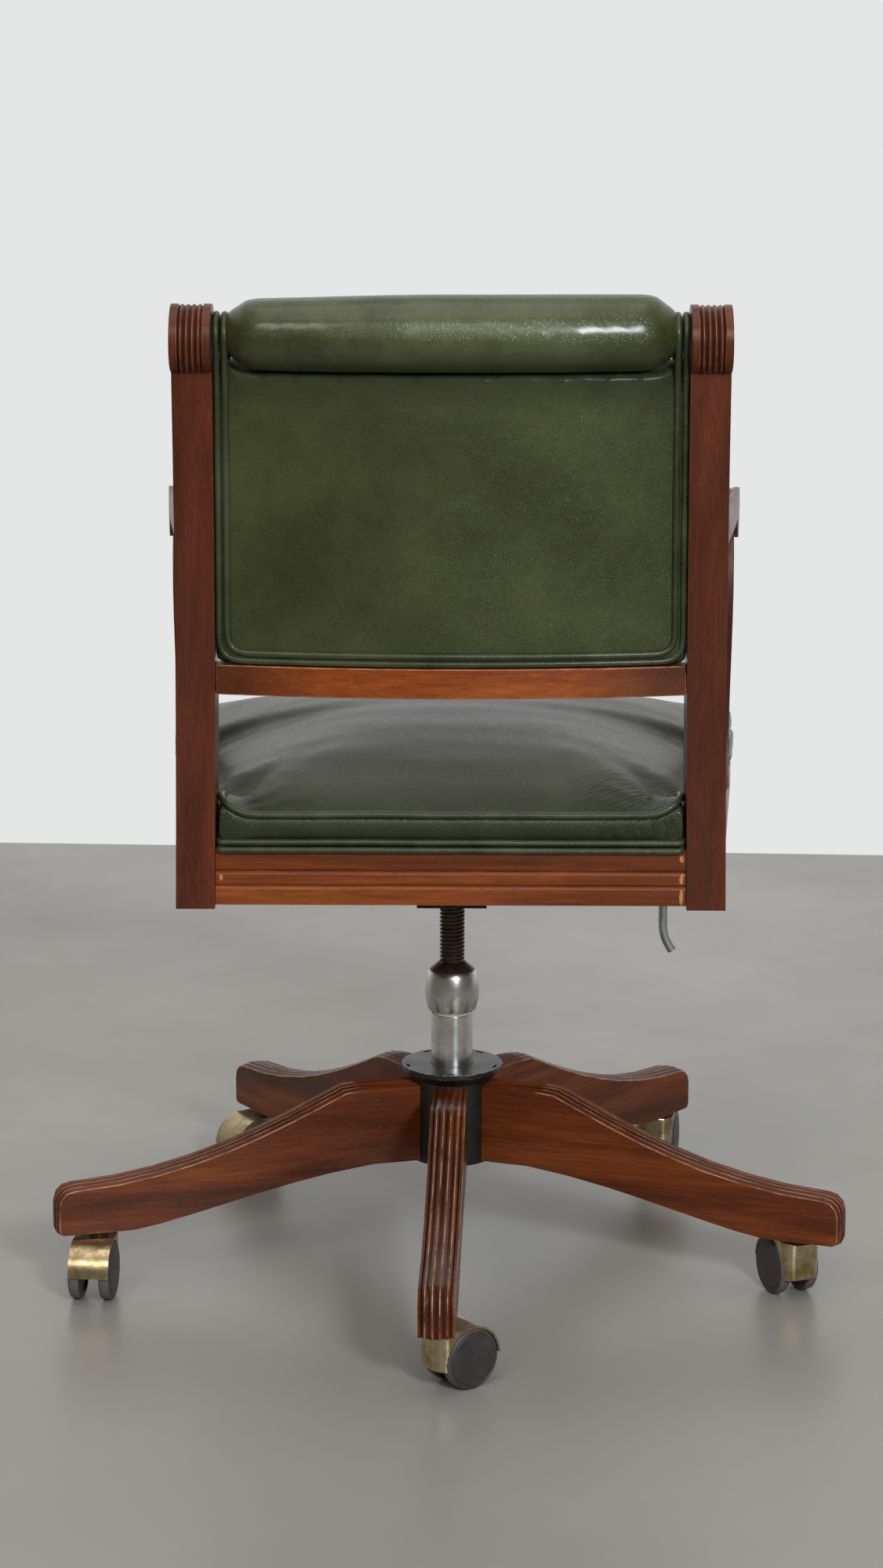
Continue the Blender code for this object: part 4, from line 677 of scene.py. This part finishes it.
def makeWheel(k, side):
    shape = wheelShape
    radius, inner = shape["radius"], shape["inner"]
    outer = inner + shape["width"]
    hub, rim = shape["hub"] * radius, shape["rim"] * radius
    floor, boreEnd = inner + shape["hollow"], outer - shape["bore"]
    # a domed outer face with a groove, the rounded tread, and an inner face hollowed round its hub
    profile = [
        (0, outer), (hub, outer - 0.00005), (0.62 * radius, outer - 0.0003), (0.84 * radius, outer - 0.0008),
        (rim, outer - 0.0013), (0.885 * radius, outer - 0.0013), (0.90 * radius, outer - 0.0010),
        (radius - 0.0012, outer - 0.0014), (radius - 0.0003, outer - 0.0022), (radius, outer - 0.0034),
        (radius, inner + 0.0012), (radius - 0.0009, inner + 0.0001), (rim, inner), (0.83 * radius, floor),
        (0.34 * radius, floor), (hub, inner), (shape["axle"], inner), (shape["axle"], boreEnd), (0, boreEnd),
    ]
    joint = joints[f"wheel_roll_{k}_{side}"]
    axis = Vector(joint["axis"]) * (1 if side == "left" else -1)
    place = Matrix.Translation(joint["pos_m"]) @ axis.to_track_quat("Z", "Y").to_matrix().to_4x4()
    bm = spun(profile, shape["steps"], place)
    centre = Vector(joint["pos_m"])
    far = [(v.co - centre - axis * (v.co - centre).dot(axis)).length for v in bm.verts]
    mesh = toMesh(bm, f"wheel{k}{side.capitalize()}", 0.7)
    writeAttribute(mesh, "radius", far)
    wear = [max(0.0, (r - shape["rubbedFrom"]) / shape["rubbedOver"]) for r in far]
    writeAttribute(mesh, "wear", wear)
    addPiece(mesh.name, mesh, f"wheel_{k}_{side}", wheelPlastic, [f"wheel_{k}_{side}"])


for k in legNumbers:
    smoothCopy(f"casterHood{k}", f"caster_hood_{k}", f"caster_{k}", brass, 0.0006, 2, 0.9)
    for side in wheelSides:
        makeWheel(k, side)

# Parts that keep their CAD shape
keptFinishes = {
    "thrust_washer": steel, "swivel_sleeve": bearingPlastic, "tilt_bracket": darkSteel,
    "tilt_axle": zincSteel, "lock_pawl": darkSteel, "seat_plate": darkSteel,
    "front_batten": plywood, "rear_batten": plywood, "seat_board": plywood,
}
for k in legNumbers:
    keptFinishes[f"caster_stem_{k}"] = keptFinishes[f"caster_axle_{k}"] = zincSteel
for node, material in keptFinishes.items():
    for holder in nodes[node].material_slots:
        holder.material = material
print("metal: hub, column, screw, lever and casters")


# Upholstery
# the last value of each piece sets how dark its painted shade gets
softShape = {
    "seatCushion": {"node": "seat_cushion", "shrink": 0.004, "voxel": 0.0055, "cap": 0.008, "pressure": 4.0,
                    "fill": 0.75, "clear": 0.001, "wear": 0.4, "paintedShade": 0.45},
    "backPanel": {"node": "back_pad", "shrink": 0.0012, "voxel": 0.004, "cap": 0.004, "pressure": 3.0,
                  "fill": 0.7, "clear": 0.0002, "wear": 0.25, "paintedShade": 0.6},
    "topRoll": {"node": "top_roll", "shrink": 0.0008, "voxel": 0.003, "cap": 0.003, "pressure": 4.0,
                "fill": 0.9, "clear": 0.0002, "wear": 0.5, "paintedShade": 0.6},
}
clothShape = {"frames": 20, "quality": 5, "evenings": 3, "evening": 0.4}
pipingShape = {"seatRadius": 0.0028, "backRadius": 0.0027, "outer": 0.0032, "inner": 0.0094, "corner": 0.010,
               "cornerSteps": 6, "endReach": 0.52, "endFrom": -35, "endTurn": 250, "endSteps": 14,
               "step": 0.005, "topGap": 0.004, "seatSink": 0.35, "backSink": 0.2, "squared": 1.06,
               "wear": 0.8}


def bounded(move, cap):
    # eases a move towards the cap, so that no flat plateau shows where it is reached
    size = move.length
    return move * (cap * math.tanh(size / cap) / size) if size > 1e-9 else move


def fitTo(bm, node, clear):
    # stretches a piece to its solid's own box, less a small clearance
    low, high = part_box(node)
    for axis in range(3):
        nearest = min(v.co[axis] for v in bm.verts)
        furthest = max(v.co[axis] for v in bm.verts)
        start, end = low[axis] + clear, high[axis] - clear
        for v in bm.verts:
            v.co[axis] = start + (v.co[axis] - nearest) * (end - start) / (furthest - nearest)


def stuffed(name, shape, pinned):
    # leather over padding: a smaller copy of the solid, swollen by cloth pressure between its seams
    bm = mergedCopy(shape["node"])
    for v in bm.verts:
        v.co -= v.normal * shape["shrink"]
    mesh = finished(bm, name)
    piece = placed(name, mesh)
    remesh = piece.modifiers.new("voxels", "REMESH")
    remesh.mode = "VOXEL"
    remesh.voxel_size = shape["voxel"]
    fine = bpy.data.meshes.new_from_object(piece.evaluated_get(evaluated()))
    piece.modifiers.clear()
    piece.data = fine
    bpy.data.meshes.remove(mesh)
    still = [v.co.copy() for v in fine.vertices]
    pins = piece.vertex_groups.new(name="pins")
    for v in fine.vertices:
        hold = pinned(v.co)
        if hold > 0:
            pins.add([v.index], hold, "REPLACE")
    cloth = piece.modifiers.new("cloth", "CLOTH")
    cloth.settings.use_pressure = True
    cloth.settings.uniform_pressure_force = shape["pressure"]
    cloth.settings.quality = clothShape["quality"]
    cloth.settings.vertex_group_mass = "pins"
    cloth.settings.effector_weights.gravity = 0
    for step in range(clothShape["frames"]):
        scene.frame_set(step + 1)
    swollen = [v.co.copy() for v in piece.evaluated_get(evaluated()).data.vertices]
    piece.modifiers.clear()
    piece.vertex_groups.clear()
    scene.frame_set(1)
    furthest = max((b - a).length for a, b in zip(still, swollen))
    print(f"{name}: {len(still)} points, moved up to {furthest * 1000:.1f} mm")
    for v, a, b in zip(fine.vertices, still, swollen):
        v.co = a + bounded(b - a, shape["cap"])
    bm = bmesh.new()
    bm.from_mesh(fine)
    for _ in range(clothShape["evenings"]):
        bmesh.ops.smooth_vert(bm, verts=bm.verts, factor=clothShape["evening"],
                              use_axis_x=True, use_axis_y=True, use_axis_z=True)
    fitTo(bm, shape["node"], shape["clear"])
    bm.to_mesh(fine)
    bm.free()
    fine.shade_smooth()
    fine.name = name
    return piece


def dress(piece, body, material, shape):
    piece.data.materials.clear()
    piece.data.materials.append(material)
    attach(piece, body)
    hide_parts(shape["node"])
    finer = piece.modifiers.new("finer", "SUBSURF")
    finer.levels = finer.render_levels = 1


def smooth(share):
    share = min(1.0, max(0.0, share))
    return share * share * (3 - 2 * share)


# Painted shade, darkening the leather on parts that neither hands nor light reach: under the roll, on its
# underside and on the cushion's boxing
paintedShadeShape = {"rollFrom": 0.1, "rollRun": 0.8, "panelReach": 0.03, "boxingFrom": 0.003, "boxingRun": 0.006}


def makeSoft(name, pinned, material, shadeShare, *reshapers):
    # pinned and the second function each give a share for a point, the second one for painted shade, and
    # reshapers work on the mesh after the swelling
    shape = softShape[name]
    piece = stuffed(name, shape, pinned)
    mesh = piece.data
    for reshape in reshapers:
        reshape(mesh)
    fillAttribute(mesh, "wear", shape["wear"])
    # hollow here is painted shade, scaled by the piece's own strength
    writeAttribute(mesh, "hollow", [shape["paintedShade"] * smooth(shadeShare(v.co)) for v in mesh.vertices])
    dress(piece, "seat", material, shape)
    return piece


def loopAt(node, z):
    # the ring of a CAD solid's corners at one height, in order
    bm = mergedCopy(node)
    ring = [e for e in bm.edges if all(abs(v.co.z - z) < meshShape["level"] for v in e.verts)]
    start = ring[0].verts[0]
    points, here, used = [], start, set()
    while True:
        points.append(here.co.copy())
        ahead = [e for e in here.link_edges if e in ring and e not in used]
        if not ahead:
            break
        used.add(ahead[0])
        here = ahead[0].other_vert(here)
        if here == start:
            break
    bm.free()
    return points


def evened(points, step, closed=True):
    # the same line with points a step apart
    line = points + [points[0]] if closed else points
    lengths = [(b - a).length for a, b in zip(line, line[1:])]
    total = sum(lengths)
    count = max(3, round(total / step))
    made, k, passed = [], 0, 0.0
    for i in range(count if closed else count + 1):
        want = total * i / count
        while k < len(lengths) - 1 and passed + lengths[k] < want:
            passed += lengths[k]
            k += 1
        made.append(line[k].lerp(line[k + 1], min(1.0, (want - passed) / max(lengths[k], 1e-9))))
    return made


def softened(points, rounds):
    # eases the kinks of a closed line
    count = len(points)
    for _ in range(rounds):
        points = [(points[i - 1] + point * 2 + points[(i + 1) % count]) / 4 for i, point in enumerate(points)]
    return points


# Seams of the cushion, and how far round them the padding is held
seamShape = {"rise": 0.0255, "foot": 0.002, "step": 0.006, "heldFoot": 0.009, "heldTall": 0.0045,
             "heldWide": 0.012}
seatLow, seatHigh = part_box("seat_cushion")
seatSeamZ = seatLow.z + seamShape["rise"]
seatSeam = evened(loopAt("seat_cushion", seatSeamZ), seamShape["step"])
seatFoot = evened(loopAt("seat_cushion", seatLow.z + seamShape["foot"]), seamShape["step"])


def seamDistance(point):
    return min(math.hypot(point.x - seam.x, point.y - seam.y) for seam in seatSeam)


def holdSeat(point):
    shape = seamShape
    if point.z < seatLow.z + shape["heldFoot"]:
        return 1.0
    return float(abs(point.z - seatSeamZ) < shape["heldTall"] and seamDistance(point) < shape["heldWide"])


# folds that gather at the cushion's corners: place, number, reach and height
seatFolds = (
    (0.170, 0.168, 15, 0.075, 0.0016), (-0.170, 0.168, 17, 0.085, 0.0018),
    (0.20, -0.075, 13, 0.06, 0.0014), (-0.20, -0.075, 13, 0.06, 0.0014),
    (0.235, -0.285, 12, 0.055, 0.0012), (-0.235, -0.285, 12, 0.055, 0.0012),
)
foldShape = {"below": 0.002, "wander": 1.6, "wanderSize": 55, "fade": 1.5, "core": 0.012,
             "crease": 0.0012, "creaseSize": (9, 30), "creaseRow": 3.0}


def foldSeat(mesh):
    shape = foldShape
    acrossSize, alongSize = shape["creaseSize"]
    for v in mesh.vertices:
        if v.co.z < seatSeamZ - shape["below"]:
            continue
        lift = 0.0
        for x, y, count, reach, height in seatFolds:
            dx, dy = v.co.x - x, v.co.y - y
            far = math.hypot(dx, dy)
            if far < reach:
                wander = noise.noise(v.co * shape["wanderSize"]) * shape["wander"]
                wave = math.sin(math.atan2(dy, dx) * count + wander)
                fade = (1 - far / reach) ** shape["fade"]
                lift += height * wave * fade * min(1.0, far / shape["core"])
        creases = Vector((v.co.x * acrossSize, v.co.y * alongSize, shape["creaseRow"]))
        v.co.z += lift + noise.noise(creases) * shape["crease"]


seatPiping = {
    "seatTopPiping": {"rise": 0, "waver": 0.0011, "curl": 0.012, "sag": 0.0, "back": 0.0},
    "seatLowPiping": {"rise": 0.0085, "waver": 0.0005, "curl": 0.0, "sag": 0.0040, "back": 0.1752},
    "seatFootPiping": {"rise": 0.0032, "waver": 0.0003, "curl": 0.0, "sag": 0.0040, "back": 0.1788},
}
cornerShape = {"postInside": 0.1778, "from": 0.158, "curlFrom": 0.158, "curlRun": 0.020, "curlEnd": 0.1885,
               "curlFade": 0.006, "curlRear": 0.10, "curlRearRun": 0.05, "rear": 0.13, "rearRun": 0.03,
               "side": 0.150, "sideRun": 0.022, "sideEnd": 0.1815, "above": 0.012, "overlap": 0.0015,
               "outBy": 0.0035, "backBy": 0.007, "backFrom": 0.155, "backRun": 0.012, "backEnd": 0.1738}


def atPost(point):
    # how near a point of the cushion is to the inner faces of the posts, where it bunches up
    shape = cornerShape
    inside = smooth((abs(point.x) - shape["curlFrom"]) / shape["curlRun"])
    inside *= smooth((shape["curlEnd"] - abs(point.x)) / shape["curlFade"])
    return inside * smooth((point.y - shape["curlRear"]) / shape["curlRearRun"])


def squareCorners(mesh):
    # fills the rear corners out to the posts, and lifts them there
    shape = cornerShape
    reach = shape["postInside"] + shape["overlap"]
    for v in mesh.vertices:
        rear = smooth((v.co.y - shape["rear"]) / shape["rearRun"])
        rear *= smooth((abs(v.co.x) - shape["side"]) / shape["sideRun"])
        if rear > 0 and abs(v.co.x) < shape["sideEnd"]:
            above = smooth((v.co.z - seatSeamZ + shape["above"]) / shape["above"])
            v.co.z += seatPiping["seatTopPiping"]["curl"] * atPost(v.co) * above
            v.co.x = math.copysign(min(reach, abs(v.co.x) + shape["outBy"] * rear), v.co.x)
            back = shape["backBy"] * rear * smooth((v.co.y - shape["backFrom"]) / shape["backRun"])
            v.co.y = min(shape["backEnd"], v.co.y + back)


def makeSeat():
    # painted shade on the boxing below the top seam
    start, run = seatSeamZ - paintedShadeShape["boxingFrom"], paintedShadeShape["boxingRun"]
    cushion = makeSoft(
        "seatCushion", holdSeat, shadedSeatHide, lambda point: (start - point.z) / run, foldSeat, squareCorners)
    surface = BVHTree.FromObject(cushion, evaluated())
    radius = pipingShape["seatRadius"]
    inside = cornerShape["postInside"]
    middleY = (seatLow.y + seatHigh.y) / 2
    for name, line in seatPiping.items():
        ring, z = (seatSeam, seatSeamZ) if name == "seatTopPiping" else (seatFoot, seatLow.z + line["rise"])
        points = []
        for p in ring:
            wave = noise.noise(Vector((p.x * 14, p.y * 14, z * 40))) * line["waver"]
            between = float(p.y > cornerShape["from"])
            wave += line["curl"] * atPost(p) - line["sag"] * between
            at = Vector((p.x, p.y, z + wave))
            hit = surface.find_nearest(at)[0]
            if hit is not None:
                out = (at - Vector((0, middleY, at.z))).normalized()
                at = Vector((hit.x, hit.y, z + wave)) + out * radius * pipingShape["seatSink"]
            if between and line["back"]:
                at.x = max(-inside, min(inside, at.x * pipingShape["squared"]))
                at.y = line["back"]
            points.append(at)
        mesh = cordMesh(name, softened(points, 3), radius, closed=True)
        fillAttribute(mesh, "wear", pipingShape["wear"])
        addPiece(name, mesh, "seat", pipingHide)


makeSeat()
print("seat: cushion and piping")

# Back panel and top roll
backShape = {"half": 0.1818, "narrowing": 0.0063, "over": 0.4155, "heldEdge": 0.011, "heldTop": 0.006,
             "heldRoll": 0.1655}
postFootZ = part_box("left_post")[0].z
padLow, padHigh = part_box("back_pad")
rollLow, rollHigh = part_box("top_roll")
rollZ = (rollLow.z + rollHigh.z) / 2
rollRadius = (rollHigh.z - rollLow.z) / 2


def halfBetweenPosts(z):
    return backShape["half"] - backShape["narrowing"] * (z - postFootZ) / backShape["over"]


def holdBack(point):
    # the panel's edges, where the piping is sewn
    edge = backShape["heldEdge"]
    aside = halfBetweenPosts(point.z) - abs(point.x) < edge
    return float(aside or point.z < padLow.z + edge or point.z > padHigh.z - backShape["heldTop"])


def holdRoll(point):
    return float(abs(point.x) > backShape["heldRoll"])


rollShape = {"half": 0.1674, "round": 0.021, "drawIn": 0.6, "under": 0.9, "lean": 0.12, "bow": 0.020,
             "tuck": 0.011, "tuckFrom": 0.05, "tuckOver": 0.034, "tuckSide": 0.9, "tuckGap": 0.0003}


def rollCentreY(x):
    # the roll is bowed to the rear, as the panel is
    return rollHigh.y - rollRadius - rollShape["bow"] * (x / rollHigh.x) ** 2


def rollShare(x):
    # how much of its full radius the roll keeps at a place along it
    shape = rollShape
    nearEnd = min(1.0, max(0.0, (abs(x) - shape["half"] + shape["round"]) / shape["round"]))
    return 1 - shape["drawIn"] * (1 - math.sqrt(1 - nearEnd ** 2))


def shapeRoll(mesh):
    # rounds the roll's ends just inside the piping
    shape = rollShape
    stretch = shape["half"] / max(abs(v.co.x) for v in mesh.vertices)
    for v in mesh.vertices:
        v.co.x *= stretch
        centre = Vector((v.co.x, rollCentreY(v.co.x), rollZ))
        out = (v.co - centre) * rollShare(v.co.x)
        out.z *= shape["under"] if out.z < 0 else 1 - shape["lean"] * smooth(v.co.x / shape["half"])
        v.co = centre + out


def tuckPanel(mesh):
    # brings the panel's top up against the roll's underside
    shape = rollShape
    for v in mesh.vertices:
        share = smooth((v.co.z - padHigh.z + shape["tuckFrom"]) / shape["tuckOver"])
        if share > 0:
            radius = rollRadius * rollShare(v.co.x)
            off = min(shape["tuckSide"], abs(v.co.y - rollCentreY(v.co.x)) / radius)
            underside = rollZ - shape["under"] * radius * math.sqrt(1 - off * off) - shape["tuckGap"]
            v.co.z += share * min(shape["tuck"], underside - padHigh.z)


def endArc(x, reach):
    # over one end of the roll, from the panel's rear to its front
    shape = pipingShape
    arc = []
    for k in range(shape["endSteps"] + 1):
        angle = math.radians(shape["endFrom"] + shape["endTurn"] * k / shape["endSteps"])
        arc.append(Vector((x, rollCentreY(x) + reach * math.cos(angle), rollZ + reach * math.sin(angle))))
    return arc


def makeBack():
    # painted shade on the panel's top, under the roll
    reach = paintedShadeShape["panelReach"]
    panel = makeSoft(
        "backPanel", holdBack, panelHide, lambda point: (point.z - padHigh.z + reach) / reach, tuckPanel)
    surface = BVHTree.FromObject(panel, evaluated())
    # painted shade on the roll's underside
    start, run = rollZ - paintedShadeShape["rollFrom"] * rollRadius, paintedShadeShape["rollRun"] * rollRadius
    makeSoft("topRoll", holdRoll, rollHide, lambda point: (start - point.z) / run, shapeRoll)
    shape = pipingShape
    radius = shape["backRadius"]
    for name, inset in (("backOuterPiping", shape["outer"]), ("backInnerPiping", shape["inner"])):
        # the cord runs down one side, across below and up the other, on the rear and again on the front
        corner = shape["corner"] - (inset - shape["outer"]) * 0.6
        ends = (padHigh.z - shape["topGap"], padLow.z + inset)
        flat = [Vector((halfBetweenPosts(z) - inset, 0, z)) for z in ends]
        flat += [Vector((-p.x, 0, p.z)) for p in reversed(flat)]
        path = evened(roundedPath(flat, corner, shape["cornerSteps"]), 0.006, closed=False)
        loops = []
        for way in (1, -1):
            line = []
            for p in path:
                hit = surface.ray_cast(Vector((p.x, way * 0.8, p.z)), Vector((0, -way, 0)))[0]
                if hit is not None:
                    line.append(Vector((p.x, hit.y + way * radius * shape["backSink"], p.z)))
            loops.append(line)
        half = halfBetweenPosts(rollZ) - inset
        over = [endArc(x, rollRadius * shape["endReach"]) for x in (-half, half)]
        whole = loops[0] + over[0] + loops[1][::-1] + over[1][::-1]
        mesh = cordMesh(name, softened(evened(whole, shape["step"]), 4), radius, closed=True)
        fillAttribute(mesh, "wear", shape["wear"])
        addPiece(name, mesh, "seat", pipingHide)


makeBack()
print("back: panel, roll and piping")


# Room and camera
roomShape = {"floorBack": 1.575, "floorTurn": -0.05, "floorFront": 4.0, "floorHalf": 3.0,
             "floorTone": (181, 178, 170), "floorNear": (138, 135, 127), "floorSheenFade": (-1.5, 1.0),
             "floorStains": 2.2, "wall": (229, 230, 230), "dimRoom": (112, 112, 112)}


def makeRoom():
    shape = roomShape
    bm = bmesh.new()
    bmesh.ops.create_grid(bm, x_segments=1, y_segments=1, size=1)
    depth = (shape["floorBack"] + shape["floorFront"]) / 2
    bmesh.ops.scale(bm, vec=(shape["floorHalf"], depth, 1), verts=bm.verts)
    bmesh.ops.translate(bm, vec=(0, depth - shape["floorBack"], 0), verts=bm.verts)
    turned = Matrix.Translation((0, swivelY, 0)) @ Matrix.Rotation(shape["floorTurn"], 4, "Z")
    bmesh.ops.transform(bm, matrix=turned, verts=bm.verts)
    floor = placed("floor", toMesh(bm, "floor"))
    floor.data.materials.append(newFinish("floorPaint"))
    clouds = mottle(onObject(), shape["floorStains"], 6, 0.62)
    alongY = add("SeparateXYZ", {0: onObject()}).outputs["Y"]
    # lighter towards the wall: painted reflection of the wall on the floor
    tone = blend(level(alongY, *shape["floorSheenFade"]), shape["floorTone"], shape["floorNear"])
    tone = blend(level(clouds, 0.35, 0.7, 0.0, 0.5), tone, shape["floorNear"])
    wire(tone, level(clouds, 0.3, 0.7, 0.26, 0.36))
    # the wall as the camera sees it, and dimmer behind the camera than ahead of it
    world = bpy.data.worlds.new("room")
    openTree(world)
    ahead = add("SeparateXYZ", {0: add("TexCoord").outputs["Generated"]}).outputs["Y"]
    around = blend(level(ahead, -0.75, 0.0), shape["wall"], shape["dimRoom"])
    tone = blend(add("LightPath").outputs["Is Camera Ray"], around, shape["wall"])
    tree.links.new(tone, tree.nodes["Background"].inputs["Color"])
    scene.world = world


lampTarget = (0, 0, 0.45)
lampShape = {
    "window": {"at": (-1.05, 2.7, 1.6), "size": 0.42, "watts": 50, "tone": (0.86, 0.93, 1.0)},
    "sky": {"at": (-0.1, 2.8, 2.1), "size": 1.0, "watts": 12, "tone": (0.95, 0.98, 1.0)},
    "lamp": {"at": (1.2, 2.5, 2.3), "size": 0.8, "watts": 17, "tone": (1.0, 0.97, 0.92)},
    "ceiling": {"at": (0.0, 0.6, 3.4), "size": 2.4, "watts": 30, "tone": (1.0, 0.99, 0.97)},
}


def makeLamps():
    for name, shape in lampShape.items():
        light = bpy.data.lights.new(name, "AREA")
        light.size = shape["size"]
        light.energy = shape["watts"]
        light.color = shape["tone"]
        lamp = placed(name, light)
        lamp.location = shape["at"]
        ahead = Vector(lampTarget) - Vector(shape["at"])
        lamp.rotation_euler = ahead.to_track_quat("-Z", "Y").to_euler()


cameraShape = {"lens": 76.42, "sensor": 36, "far": 2.6986, "high": 0.9597, "side": 0.01701,
               "down": 0.20124, "turn": -0.00966, "roll": 0.00123}


def makeCamera():
    shape = cameraShape
    down, turn, roll = shape["down"], shape["turn"], shape["roll"]
    right = Vector((-math.cos(turn), math.sin(turn), 0))
    ahead = Vector((-math.cos(down) * math.sin(turn), -math.cos(down) * math.cos(turn), -math.sin(down)))
    above = Vector((-math.sin(down) * math.sin(turn), -math.sin(down) * math.cos(turn), math.cos(down)))
    acrossView = math.cos(roll) * right + math.sin(roll) * above
    upView = -math.sin(roll) * right + math.cos(roll) * above
    at = (-shape["side"], swivelY + shape["far"], shape["high"])
    view = bpy.data.cameras.new("view")
    view.lens = shape["lens"]
    view.sensor_width = shape["sensor"]
    camera = placed("view", view)
    rows = [(acrossView[i], upView[i], -ahead[i], at[i]) for i in range(3)]
    camera.matrix_world = Matrix(rows + [(0, 0, 0, 1)])
    scene.camera = camera


makeRoom()
makeLamps()
makeCamera()
scene.view_settings.view_transform = "Standard"

print("room, lamps and camera: set")
